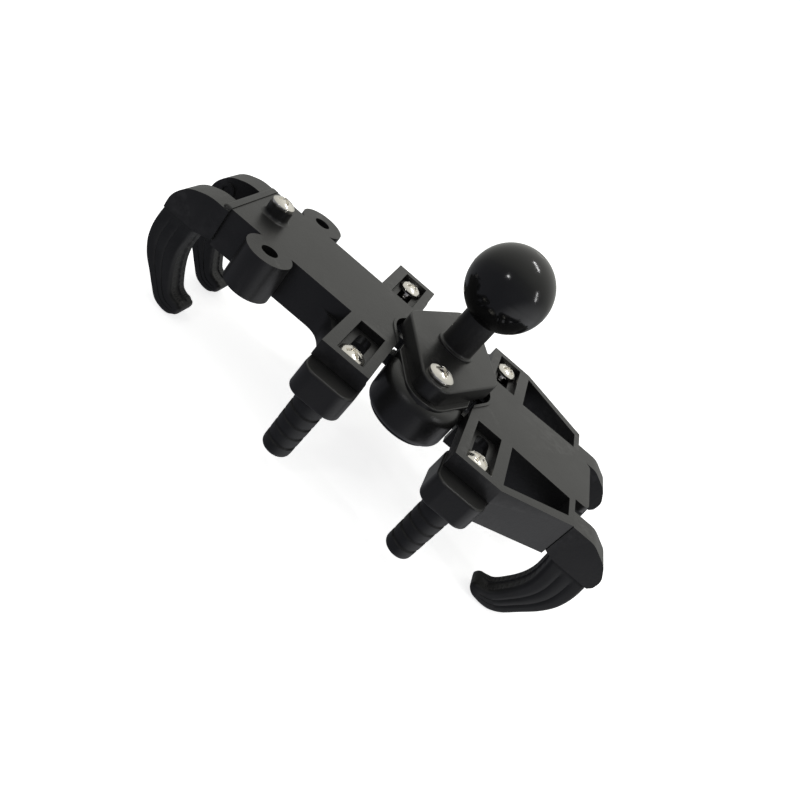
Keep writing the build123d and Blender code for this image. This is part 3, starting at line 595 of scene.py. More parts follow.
def lathe(name: str, profile: Sequence[Pair], centre: Point, around: int = 72) -> bpy.types.Mesh:
    """A closed solid of revolution about an upright axis.

    Args:
        name: the mesh's name.
        profile: (radius, height) from one pole to the other, lowest first.
        centre: where the axis and height 0 are.
        around: faces round the axis.

    Returns:
        The mesh, with its faces outwards.
    """
    shape = bmesh.new()
    rings: list[list[bmesh.types.BMVert]] = []
    for radius, height in profile:
        if radius <= 0:
            rings.append([shape.verts.new((centre[0], centre[1], centre[2] + height))])
            continue
        ring = []
        for i in range(around):
            turn = 2 * math.pi * i / around
            x, y = centre[0] + radius * math.cos(turn), centre[1] + radius * math.sin(turn)
            ring.append(shape.verts.new((x, y, centre[2] + height)))
        rings.append(ring)
    for low, high in zip(rings, rings[1:]):
        for i in range(around):
            j = (i + 1) % around
            if len(low) == 1:
                shape.faces.new((low[0], high[j], high[i]))
            elif len(high) == 1:
                shape.faces.new((low[i], low[j], high[0]))
            else:
                shape.faces.new((low[i], low[j], high[j], high[i]))
    return closed_mesh(shape, name, outwards=False)


def curve_points(points: np.ndarray, count: int) -> np.ndarray:
    """Points along a smooth curve through the given ones.

    Args:
        points: rows of coordinates that the curve goes through.
        count: how many to return, evenly spread in the curve's own parameter.

    Returns:
        The points, one a row.
    """
    padded = np.vstack([2 * points[0] - points[1], points, 2 * points[-1] - points[-2]])
    places = np.linspace(0, len(points) - 1, count)
    found = []
    for place in places:
        i = min(int(place), len(points) - 2)
        t = place - i
        a, b, c, d = padded[i : i + 4]
        found.append(
            0.5
            * (
                2 * b
                + (c - a) * t
                + (2 * a - 5 * b + 4 * c - d) * t**2
                + (3 * b - a - 3 * c + d) * t**3
            )
        )
    return np.array(found)


# ------------------------------------------------------------------ geometry-node trees
class Tree:
    """A geometry-node tree that is built in code, with named inputs."""

    def __init__(self, name: str, inputs: Sequence[tuple[str, str, object]]) -> None:
        """Start a tree.

        Args:
            name: the tree's name.
            inputs: (name, socket type, default) of each input after the geometry.
        """
        self.group = bpy.data.node_groups.new(name, "GeometryNodeTree")
        face = self.group.interface
        face.new_socket("Geometry", in_out="INPUT", socket_type="NodeSocketGeometry")
        self.ids: dict[str, str] = {}
        for label, kind, default in inputs:
            socket = face.new_socket(label, in_out="INPUT", socket_type=kind)
            if default is not None:
                socket.default_value = default
            self.ids[label] = socket.identifier
        face.new_socket("Geometry", in_out="OUTPUT", socket_type="NodeSocketGeometry")
        self.start = self.group.nodes.new("NodeGroupInput")
        self.end = self.group.nodes.new("NodeGroupOutput")

    def add(
        self,
        kind: str,
        settings: dict[str, object] | None = None,
        inputs: dict[object, object] | None = None,
    ) -> bpy.types.Node:
        """Add a node with its settings and sockets.

        Args:
            kind: the node's type.
            settings: its attributes.
            inputs: numbers or output sockets for its inputs.

        Returns:
            The node.
        """
        return add_node(self.group, kind, settings, inputs)

    def close(self, geometry: bpy.types.NodeSocket) -> None:
        """Realize the instances, set the material and end the tree.

        Args:
            geometry: the geometry that the tree makes.
        """
        real = self.add("GeometryNodeRealizeInstances", None, {"Geometry": geometry})
        dressed = self.add(
            "GeometryNodeSetMaterial",
            None,
            {"Geometry": real.outputs[0], "Material": self.start.outputs["Material"]},
        )
        self.group.links.new(dressed.outputs[0], self.end.inputs[0])

    def run(self, name: str, base: bpy.types.Mesh, values: dict[str, object]) -> bpy.types.Object:
        """Run the tree on a mesh and bake its result.

        Args:
            name: the name of the piece.
            base: the mesh that the tree starts from.
            values: the inputs by name.

        Returns:
            The plain piece.
        """
        holder = new_object(name, base)
        modifier = holder.modifiers.new("Tree", "NODES")
        modifier.node_group = self.group
        for label, content in values.items():
            modifier[self.ids[label]] = content
        return baked(holder)


class ScrewTree(Tree):
    """Screws: one screw shape set on each point, each turned by its own angle."""

    def __init__(self) -> None:
        """Build the tree."""
        super().__init__(
            "screw_set",
            [
                ("Screw", "NodeSocketObject", None),
                ("Material", "NodeSocketMaterial", None),
                ("Flip", "NodeSocketFloat", 0.0),
                ("Seed", "NodeSocketInt", 3),
            ],
        )
        shape = self.add(
            "GeometryNodeObjectInfo",
            {"transform_space": "ORIGINAL"},
            {"Object": self.start.outputs["Screw"]},
        )
        turn = self.add(
            "FunctionNodeRandomValue",
            {"data_type": "FLOAT"},
            {2: 0.0, 3: math.pi, "Seed": self.start.outputs["Seed"]},
        )
        angles = self.add(
            "ShaderNodeCombineXYZ",
            None,
            {"X": self.start.outputs["Flip"], "Z": turn.outputs[1]},
        )
        placed = self.add(
            "GeometryNodeInstanceOnPoints",
            None,
            {
                "Points": self.start.outputs["Geometry"],
                "Instance": shape.outputs["Geometry"],
                "Rotation": angles.outputs[0],
            },
        )
        self.close(placed.outputs[0])


class RibTree(Tree):
    """A straight row of equal ribs: one rib shape set at even steps."""

    def __init__(self) -> None:
        """Build the tree."""
        super().__init__(
            "rib_row",
            [
                ("Rib", "NodeSocketObject", None),
                ("Material", "NodeSocketMaterial", None),
                ("Count", "NodeSocketInt", 5),
                ("Start", "NodeSocketVector", (0.0, 0.0, 0.0)),
                ("Step", "NodeSocketVector", (0.0, 0.001, 0.0)),
            ],
        )
        row = self.add(
            "GeometryNodeMeshLine",
            {"mode": "OFFSET"},
            {
                "Count": self.start.outputs["Count"],
                "Start Location": self.start.outputs["Start"],
                "Offset": self.start.outputs["Step"],
            },
        )
        shape = self.add(
            "GeometryNodeObjectInfo",
            {"transform_space": "ORIGINAL"},
            {"Object": self.start.outputs["Rib"]},
        )
        placed = self.add(
            "GeometryNodeInstanceOnPoints",
            None,
            {"Points": row.outputs[0], "Instance": shape.outputs["Geometry"]},
        )
        self.close(placed.outputs[0])


# ------------------------------------------------------------------ the workshop
@dataclass
class Workshop:
    """Every finish and tree that the sub-assemblies share."""

    coat: bpy.types.Material = field(default_factory=lambda: PowderCoat().build())
    finger: bpy.types.Material = field(default_factory=lambda: Rubber().build())
    pad: bpy.types.Material = field(
        default_factory=lambda: Rubber("black_pad_rubber", 0.010, 0.02, 0.6, 1900.0).build()
    )
    ball: bpy.types.Material = field(default_factory=lambda: GlossRubber().build())
    nickel: bpy.types.Material = field(default_factory=lambda: MetalFinish(Metal.NICKEL).build())
    steel: bpy.types.Material = field(default_factory=lambda: MetalFinish(Metal.STEEL).build())
    blued: bpy.types.Material = field(default_factory=lambda: MetalFinish(Metal.BLUED).build())
    acetal: bpy.types.Material = field(default_factory=lambda: Acetal().build())
    screws: ScrewTree = field(default_factory=ScrewTree)
    ribs: RibTree = field(default_factory=RibTree)

    def dress(self, node: str, material: bpy.types.Material) -> None:
        """Give a CAD node that stays its finish.

        Args:
            node: the CAD node.
            material: its finish.
        """
        piece = frame["nodes"][node]
        piece.data.materials.clear()
        piece.data.materials.append(material)

    def adopt(
        self, piece: bpy.types.Object, body: str, slot: str, nodes: Iterable[str] = ()
    ) -> bpy.types.Object:
        """Hand a finished piece to the frame.

        Args:
            piece: the finished piece.
            body: the CAD body that it rides on.
            slot: the record's material slot; not used.
            nodes: the CAD nodes that it stands for.

        Returns:
            The piece.
        """
        nodes = list(nodes)
        if nodes:
            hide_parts(*nodes)
        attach(piece, body)
        LOG.info("%s: %d faces on %s", piece.name, len(piece.data.polygons), body)
        return piece

    def casting(
        self,
        node: str,
        body: str,
        name: str,
        edge: float = 0.6 * MM,
        angle: float = 34.0,
        segments: int = 3,
    ) -> bpy.types.Object:
        """A die casting: the CAD shape with its sharp edges rounded.

        Args:
            node: the CAD node that it stands for.
            body: the CAD body that it rides on.
            name: the piece's name.
            edge: edge radius in metres.
            angle: edges steeper than this, in degrees, are rounded.
            segments: steps round an edge.

        Returns:
            The piece.
        """
        piece = new_object(name, cad_copy(node))
        piece.data.materials.append(self.coat)
        bevel = piece.modifiers.new("Edges", "BEVEL")
        bevel.width = edge
        bevel.segments = segments
        bevel.limit_method = "ANGLE"
        bevel.angle_limit = math.radians(angle)
        bevel.miter_outer = "MITER_ARC"
        bevel.use_clamp_overlap = True
        piece.data.shade_smooth()
        normals = piece.modifiers.new("Normals", "WEIGHTED_NORMAL")
        normals.weight = 80
        piece = baked(piece)
        return self.adopt(piece, body, "coated_alloy", [node])


# ------------------------------------------------------------------ screws
class ScrewSize(Enum):
    """Screw kinds: head radius, head height, shank radius, and whether it is bright nickel."""

    PLATE_PAN = (3.9 * MM, 2.5 * MM, 2.0 * MM, True)
    CLAMP_PAN = (3.5 * MM, 2.3 * MM, 1.5 * MM, True)
    SMALL_PAN = (2.75 * MM, 1.9 * MM, 1.5 * MM, False)
    COUNTERSUNK = (2.75 * MM, 2.75 * MM, 1.5 * MM, False)


@dataclass
class ScrewShop:
    """Cross-recess screws, in metres, from head to point.

    Args:
        shop: the shared workshop.
    """

    shop: Workshop
    recess_span: float = 1.75
    recess_blade: float = 0.27
    recess_depth: float = 0.45
    facets: int = 56

    def _profile(self, head: float, rise: float, shank: float, length: float, sunk: bool) -> list[Pair]:
        """The (radius, height) outline from the point up to the crown."""
        thread_pitch = 0.7 * MM
        outline: list[Pair] = [(0.0, -length), (shank * 0.62, -length)]
        threads = max(int((length - 1.2 * MM) / thread_pitch), 1)
        for i in range(threads):
            z = -length + 0.35 * MM + i * thread_pitch
            outline += [
                (shank * 0.86, z),
                (shank, z + thread_pitch * 0.30),
                (shank, z + thread_pitch * 0.42),
                (shank * 0.86, z + thread_pitch * 0.72),
            ]
        if sunk:
            cone = head - shank
            outline += [(shank, -cone), (head * 0.98, -0.12 * MM), (head, -0.04 * MM), (head * 0.97, 0.0)]
            outline += [(head * 0.5, 0.0), (0.0, 0.0)]
            return outline
        rim = rise * 0.4
        outline += [(shank * 1.02, -0.1 * MM), (shank * 1.1, 0.0), (head * 0.95, 0.0)]
        outline += [(head * 0.99, rim * 0.12), (head, rim * 0.3), (head, rim * 0.75)]
        dome = rise - rim
        radius = (head**2 + dome**2) / (2 * dome)
        for i in range(1, 15):
            r = head * math.cos(math.pi / 2 * i / 15) ** 1.15
            outline.append((r, rise - radius + math.sqrt(radius**2 - r**2)))
        outline.append((0.0, rise))
        return outline

    def _cutter(self, span: float, blade: float, depth: float, top: float) -> bpy.types.Object:
        """A tapered cross for the driver recess."""
        shape = bmesh.new()
        for turn in (0.0, math.pi / 2):
            rings = []
            for z, share, wide in ((top + depth, 1.35, 1.15), (top - depth, 0.45, 0.75)):
                half, side = span / 2 * share, blade / 2 * wide
                corners = [(half, side), (-half, side), (-half, -side), (half, -side)]
                rings.append(
                    [
                        shape.verts.new(
                            (
                                x * math.cos(turn) - y * math.sin(turn),
                                x * math.sin(turn) + y * math.cos(turn),
                                z,
                            )
                        )
                        for x, y in corners
                    ]
                )
            high, low = rings
            shape.faces.new(high)
            shape.faces.new(low[::-1])
            for i in range(4):
                j = (i + 1) % 4
                shape.faces.new((high[j], high[i], low[i], low[j]))
        return new_object("recess", closed_mesh(shape, "recess"))

    def shape(
        self, head: float, rise: float, shank: float, length: float, sunk: bool = False
    ) -> bpy.types.Object:
        """One screw at the origin with its head upwards.

        Args:
            head: head radius.
            rise: head height.
            shank: shank radius.
            length: shank length.
            sunk: True for a countersunk head.

        Returns:
            The screw, to be set on points and then removed.
        """
        top = 0.0 if sunk else rise
        mesh = lathe("screw", self._profile(head, rise, shank, length, sunk), (0, 0, 0), self.facets)
        screw = new_object("screw", mesh)
        cutter = self._cutter(
            head * self.recess_span, head * self.recess_blade, head * self.recess_depth, top
        )
        cut = screw.modifiers.new("Recess", "BOOLEAN")
        cut.operation = "DIFFERENCE"
        cut.solver = "EXACT"
        cut.use_self = True
        cut.object = cutter
        soften = screw.modifiers.new("Edges", "BEVEL")
        soften.width = 0.06 * MM
        soften.segments = 2
        soften.limit_method = "ANGLE"
        soften.angle_limit = math.radians(38)
        screw = baked(screw, "screw_shape")
        bpy.data.objects.remove(cutter)
        shade(screw.data, 40.0)
        return screw

    def fit(
        self,
        node: str,
        name: str,
        body: str,
        size: ScrewSize,
        along: str = "",
        down: bool = False,
        seed: int = 3,
    ) -> bpy.types.Object:
        """Make the screws of a CAD node, with their heads at the ends of its box.

        Args:
            node: the CAD node that they stand for.
            name: the piece's name.
            body: the CAD body that they ride on.
            size: the kind of screw.
            along: the axes that the screws are spread along, or none for a single screw.
            down: True if the heads point down.
            seed: seed of the angles that the recesses stand at.

        Returns:
            The piece.
        """
        low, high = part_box(node)
        head, rise, shank, bright = size.value
        sunk = size is ScrewSize.COUNTERSUNK
        if down:
            seat = low.z if sunk else low.z + rise
            length = high.z - seat
        else:
            seat = high.z - rise
            length = seat - low.z
        xs = [low.x + head, high.x - head] if "x" in along else [(low.x + high.x) / 2]
        ys = [low.y + head, high.y - head] if "y" in along else [(low.y + high.y) / 2]
        screw = self.shape(head, rise, shank, length, sunk)
        points = bpy.data.meshes.new(name)
        points.from_pydata([(x, y, seat) for y in ys for x in xs], [], [])
        material = self.shop.nickel if bright else self.shop.steel
        flip = math.pi if down else 0.0
        piece = self.shop.screws.run(
            name, points, {"Screw": screw, "Material": material, "Flip": flip, "Seed": seed}
        )
        bpy.data.objects.remove(screw)
        slot = "bright_screw" if bright else "plain_steel"
        return self.shop.adopt(piece, body, slot, [node])


# ------------------------------------------------------------------ fingers
@dataclass
class RubberFinger:
    """A hooked rubber finger: a bar swept from its root to a rounded tip.

    Args:
        shop: the shared workshop.
        name: the CAD node that it stands for.
        body: the CAD body that it rides on.
        outward: -1 or +1, the side that its arm's end faces.
        face_x: the arm's end face, in metres.
        top_z: the arm's top, in metres.
        stations: (outer out, outer rise, inner out, inner rise) in mm from the root to the tip.
        tip: (out, rise) of the end of the hook, in mm.
    """

    shop: Workshop
    name: str
    body: str
    outward: int
    face_x: float
    top_z: float
    stations: Sequence[tuple[float, float, float, float]]
    tip: Pair
    edge: float = 1.15
    along: int = 150
    ribs: int = 17
    rib_depth: float = 0.16
    groove_depth: float = 0.42
    crease_depth: float = 0.22
    crease_places: Pair = (0.34, 0.70)
    crown: float = 0.18
    root_inset: float = 0.22
    tip_narrowing: float = 1.3
    tip_turns: Sequence[int] = (18, 34, 48, 60, 70, 78, 85)

    def _section(self, half: float, thick: float, share: float) -> list[tuple[float, float]]:
        """One section as (across, through) in mm: through runs from 0 inside to thick outside."""
        rim = min(self.edge, thick * 0.45, half * 0.45)
        corner = [i * math.pi / 2 / 6 for i in range(7)]
        loop: list[tuple[float, float]] = []
        half_inner = [1.0, 0.8, 0.62, 0.44, 0.34, 0.26, 0.16]
        inner = half_inner + [0.0] + [-place for place in reversed(half_inner)]
        flat = half - rim
        # inner face, with a groove down its middle and cross ribs either side of it
        wave = 0.5 - 0.5 * math.cos(2 * math.pi * share * self.ribs)
        body = min(1.0, share * 12) * min(1.0, (1 - share) * 7)
        for place in inner:
            side = abs(place)
            groove = self.groove_depth if side < 0.3 else 0.0
            rib = self.rib_depth * (wave**4) if 0.3 < side < 0.9 else 0.0
            loop.append((place * flat, body * (groove + rib)))
        for angle in corner:
            loop.append((-flat - rim * math.sin(angle), rim - rim * math.cos(angle)))
        # side faces, with two long creases
        sides = [0.18, 0.30, 0.34, 0.38, 0.5, 0.66, 0.70, 0.74, 0.86]
        depth = thick - 2 * rim
        for place in sides:
            crease = self.crease_depth * body if place in self.crease_places else 0.0
            loop.append((-half + crease, rim + depth * place))
        for angle in reversed(corner):
            loop.append((-flat - rim * math.sin(angle), thick - rim + rim * math.cos(angle)))
        outer = [-0.75, -0.5, -0.25, 0.0, 0.25, 0.5, 0.75]
        for place in outer:
            loop.append((place * flat, thick + self.crown * body * (1 - place**2)))
        for angle in corner:
            loop.append((flat + rim * math.sin(angle), thick - rim + rim * math.cos(angle)))
        for place in reversed(sides):
            crease = self.crease_depth * body if place in self.crease_places else 0.0
            loop.append((half - crease, rim + depth * place))
        for angle in reversed(corner[1:]):
            loop.append((flat + rim * math.sin(angle), rim - rim * math.cos(angle)))
        return loop

    def build(self) -> bpy.types.Object:
        """Sweep the finger, close its ends and hand it to the frame."""
        low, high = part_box(self.name)
        centre_y, half = (low.y + high.y) / 2 / MM, (high.y - low.y) / 2 / MM
        rows = curve_points(np.array(self.stations, float), self.along)
        shape = bmesh.new()
        rings: list[list[bmesh.types.BMVert]] = []

        def ring(outer: np.ndarray, inner: np.ndarray, width: float, share: float) -> None:
            """Add one section between an outer and an inner point."""
            span = outer - inner
            thick = float(np.linalg.norm(span))
            through = span / thick
            points = []
            for across, inside in self._section(width, thick, share):
                flat = inner + through * inside
                points.append(
                    shape.verts.new(
                        (
                            self.face_x + self.outward * flat[0] * MM,
                            (centre_y + across) * MM,
                            self.top_z + flat[1] * MM,
                        )
                    )
                )
            rings.append(points)

        for i, row in enumerate(rows):
            share = i / (self.along - 1)
            inset = self.root_inset * max(0.0, 1 - share * 60)
            ring(row[:2], row[2:], half - inset, share)
        # rounded end: the last section shrinks on its way to the tip
        last_outer, last_inner = rows[-1][:2], rows[-1][2:]
        middle = (last_outer + last_inner) / 2
        ahead = np.array(self.tip, float) - middle
        for turn in self.tip_turns:
            reach, keep = math.sin(math.radians(turn)), math.cos(math.radians(turn))
            centre = middle + ahead * reach
            ring(
                centre + (last_outer - middle) * keep,
                centre + (last_inner - middle) * keep,
                half - self.tip_narrowing * (1 - keep),
                1.0,
            )
        skin(shape, rings)
        mesh = closed_mesh(shape, self.name + "_shaped")
        piece = new_object(self.name + "_shaped", mesh)
        shade(mesh, 48.0)
        mesh.materials.append(self.shop.finger)
        return self.shop.adopt(piece, self.body, "finger_rubber", [self.name])


# ------------------------------------------------------------------ sub-assemblies
@dataclass
class BallBase:
    """The ball on its diamond plate, the housing under it, its cover and its pad."""

    shop: Workshop
    screws: ScrewShop
    body: str = "base"
    seam_height: float = 0.07 * MM
    neck_radius: float = 5.4 * MM
    lip: float = 0.25 * MM
    gate_mark: float = 0.16 * MM
    pad_ribs: int = 13
    rib_outline: Sequence[Pair] = (
        (0.55, 0.15),
        (0.4, -0.2),
        (0.15, -0.32),
        (-0.15, -0.32),
        (-0.4, -0.2),
        (-0.55, 0.15),
    )

    def ball(self) -> None:
        """The moulded ball with its parting line, gate mark and rolled lip at the neck."""
        low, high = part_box("ball_skin")
        radius = (high.x - low.x) / 2
        start = -math.acos(self.neck_radius / radius)
        inside, foot = self.neck_radius - self.lip, radius * math.sin(start)
        profile: list[Pair] = [(inside, foot + 0.7 * MM), (inside, foot + 0.1 * MM)]
        steps = 72
        for i in range(steps):
            turn = start + (math.pi / 2 - start) * i / steps
            ridge = self.seam_height * math.exp(-((turn / 0.012) ** 2))
            mark = self.gate_mark if turn > math.radians(84.5) else 0.0
            profile.append(((radius + ridge) * math.cos(turn), (radius + ridge - mark) * math.sin(turn)))
        profile.append((0.0, radius - self.gate_mark))
        profile.insert(0, (0.0, profile[0][1]))
        mesh = lathe("ball_skin_moulded", profile, (0, 0, 0), 128)
        mesh.materials.append(self.shop.ball)
        shade(mesh, 50.0)
        self.shop.adopt(new_object("ball_skin_moulded", mesh), self.body, "ball_rubber", ["ball_skin"])

    def plate(self) -> None:
        """The diamond plate, the housing and the cover."""
        self.shop.casting("ball_base_plate", self.body, "ball_plate_cast", 0.3 * MM)
        self.shop.casting("center_housing", self.body, "center_housing_cast", 0.3 * MM)
        self.shop.casting("bottom_cover", self.body, "bottom_cover_cast", 0.15 * MM)

    def pad(self) -> None:
        """The pad that the phone rests on, with a row of low grip ribs."""
        self.shop.dress("phone_pad", self.shop.pad)
        low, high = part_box("phone_pad")
        half = (high.x - low.x) / 2
        shape = bmesh.new()
        length = half * 1.5
        steps = 9
        rows = []
        for i in range(steps + 1):
            x = -length / 2 + length * i / steps
            end = 1.0 if 0 < i < steps else 0.35
            rows.append(
                [shape.verts.new((x, y * MM * end, z * MM * end)) for y, z in self.rib_outline]
            )
        skin(shape, rows)
        mesh = closed_mesh(shape, "pad_rib")
        shade(mesh, 60.0)
        rib = new_object("pad_rib", mesh)
        step = (high.y - low.y - 2 * half) / (self.pad_ribs - 1)
        piece = self.shop.ribs.run(
            "phone_pad_ribs",
            bpy.data.meshes.new("phone_pad_ribs"),
            {
                "Rib": rib,
                "Material": self.shop.pad,
                "Count": self.pad_ribs,
                "Start": (0.0, -step * (self.pad_ribs - 1) / 2, low.z),
                "Step": (0.0, step, 0.0),
            },
        )
        bpy.data.objects.remove(rib)
        self.shop.adopt(piece, self.body, "pad_rubber")

    def fasteners(self) -> None:
        """The two plate screws and the four cover screws."""
        self.screws.fit(
            "plate_screws", "plate_pan_screws", self.body, ScrewSize.PLATE_PAN, "y", seed=11
        )
        self.screws.fit(
            "cover_screws",
            "cover_flat_screws",
            self.body,
            ScrewSize.COUNTERSUNK,
            "xy",
            down=True,
            seed=5,
        )

    def works(self) -> None:
        """The gear, its axle and the spiral spring inside the housing."""
        self.shop.dress("pinion", self.shop.acetal)
        self.shop.dress("pinion_axle", self.shop.steel)
        self.shop.dress("return_spring", self.shop.blued)

    def build(self) -> None:
        """Make the whole sub-assembly."""
        self.ball()
        self.plate()
        self.pad()
        self.fasteners()
        self.works()


@dataclass
class ClawArm:
    """One arm with its claw bracket, fingers, rack and screws."""

    shop: Workshop
    screws: ScrewShop
    side: str
    outward: int
    stations: Sequence[tuple[float, float, float, float]]
    tip: Pair
    root_depth: float = 12.0 * MM
    seat_gap: float = 0.05 * MM
    right_reach: float = 16.3 * MM

    def castings(self) -> None:
        """The arm and its claw bracket."""
        body = f"{self.side}_arm"
        self.shop.casting(f"{self.side}_arm_frame", body, f"{self.side}_arm_cast")
        self.shop.casting(f"{self.side}_claw_bracket", body, f"{self.side}_claws_cast", 1.0 * MM, 40.0, 4)

    def fingers(self) -> None:
        """The front and rear rubber fingers."""
        for end in ("front", "rear"):
            RubberFinger(
                self.shop,
                f"{self.side}_finger_{end}",
                f"{self.side}_arm",
                self.outward,
                self.end_face(),
                self.arm_top(),
                self.stations,
                self.tip,
            ).build()

    def arm_top(self) -> float:
        """The level of the arm's flat top, which the claw outlines are measured from."""
        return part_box(f"{self.side}_finger_front")[1].z + self.root_depth

    def end_face(self) -> float:
        """The end face that the claw outlines are measured from."""
        if self.outward < 0:
            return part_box(f"{self.side}_arm_frame")[0].x - self.seat_gap
        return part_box(f"{self.side}_finger_front")[1].x - self.right_reach

    def works(self) -> None:
        """The rack, the steel cores and the hidden screws."""
        body = f"{self.side}_arm"
        self.shop.dress(f"{self.side}_rack", self.shop.acetal)
        self.shop.dress(f"{self.side}_claw_pins", self.shop.steel)
        self.screws.fit(
            f"{self.side}_rack_screws",
            f"{self.side}_rack_pan_screws",
            body,
            ScrewSize.SMALL_PAN,
            "x",
            down=True,
            seed=7,
        )

    def build(self) -> None:
        """Make the whole sub-assembly."""
        self.castings()
        self.fingers()
        self.works()


@dataclass
class LeftEnd:
    """The clamp screw and nut that hold the left claw bracket."""

    shop: Workshop
    screws: ScrewShop

    def build(self) -> None:
        """Make the screw and dress the nut."""
        self.screws.fit(
            "left_clamp_screw", "left_clamp_pan_screw", "left_arm", ScrewSize.CLAMP_PAN, seed=2
        )
        self.shop.dress("left_clamp_nut", self.shop.steel)


@dataclass
class RightEnd:
    """The two screws that hold the right claw bracket from below."""

    screws: ScrewShop

    def build(self) -> None:
        """Make the screws."""
        self.screws.fit(
            "right_bracket_screws",
            "right_bracket_pan_screws",
            "right_arm",
            ScrewSize.SMALL_PAN,
            "y",
            down=True,
            seed=9,
        )


@dataclass
class SlidingPost:
    """A post that slides in a lug: its carrier, grooved rubber sleeve, stud and slot screw."""

    shop: Workshop
    screws: ScrewShop
    corner: str
    seed: int
    grooves: int = 4
    groove_depth: float = 0.42 * MM
    groove_half: float = 0.45 * MM
    taper: float = 0.42 * MM
    end_radius: float = 1.5 * MM

    def sleeve(self) -> None:
        """The rubber sleeve with its grooves, shoulder and rounded end."""
        node = f"{self.corner}_sleeve"
        low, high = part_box(node)
        x, y = (low.x + high.x) / 2, (low.y + high.y) / 2
        top_radius = (high.x - low.x) / 2
        tip_radius = top_radius - self.taper
        height = high.z - low.z
        end = self.end_radius
        profile: list[Pair] = [(0.0, 0.18 * MM), (tip_radius * 0.34, 0.16 * MM), (tip_radius * 0.4, 0.0)]
        for i in range(7):
            turn = math.pi / 2 * i / 6
            profile.append(
                (tip_radius - end + end * math.sin(turn), end - end * math.cos(turn))
            )
        steps = 150
        first = end + 0.2 * MM
        for i in range(steps + 1):
            z = first + (height - 0.5 * MM - first) * i / steps
            radius = tip_radius + (top_radius - tip_radius) * z / height
            cut = 0.0
            for g in range(self.grooves):
                centre = height * (0.22 + 0.19 * g)
                near = abs(z - centre) / self.groove_half
                if near < 1.35:
                    cut = self.groove_depth * min(1.0, max(0.0, (1.35 - near) / 0.45))
            profile.append((radius - cut, z))
        profile.append((top_radius - 0.1 * MM, height - 0.15 * MM))
        profile += [(top_radius - 0.35 * MM, height), (0.0, height)]
        mesh = lathe(node + "_grooved", profile, (x, y, low.z), 64)
        mesh.materials.append(self.shop.finger)
        shade(mesh, 40.0)
        self.shop.adopt(
            new_object(node + "_grooved", mesh), f"{self.corner}_post", "finger_rubber", [node]
        )

    def build(self) -> None:
        """Make the whole post."""
        body = f"{self.corner}_post"
        self.shop.casting(f"{self.corner}_carrier", body, f"{self.corner}_carrier_cast", 0.3 * MM)
        self.sleeve()
        self.shop.dress(f"{self.corner}_stud", self.shop.steel)
        self.screws.fit(
            f"{self.corner}_post_screw",
            f"{self.corner}_pan_screw",
            body,
            ScrewSize.PLATE_PAN,
            seed=self.seed,
        )


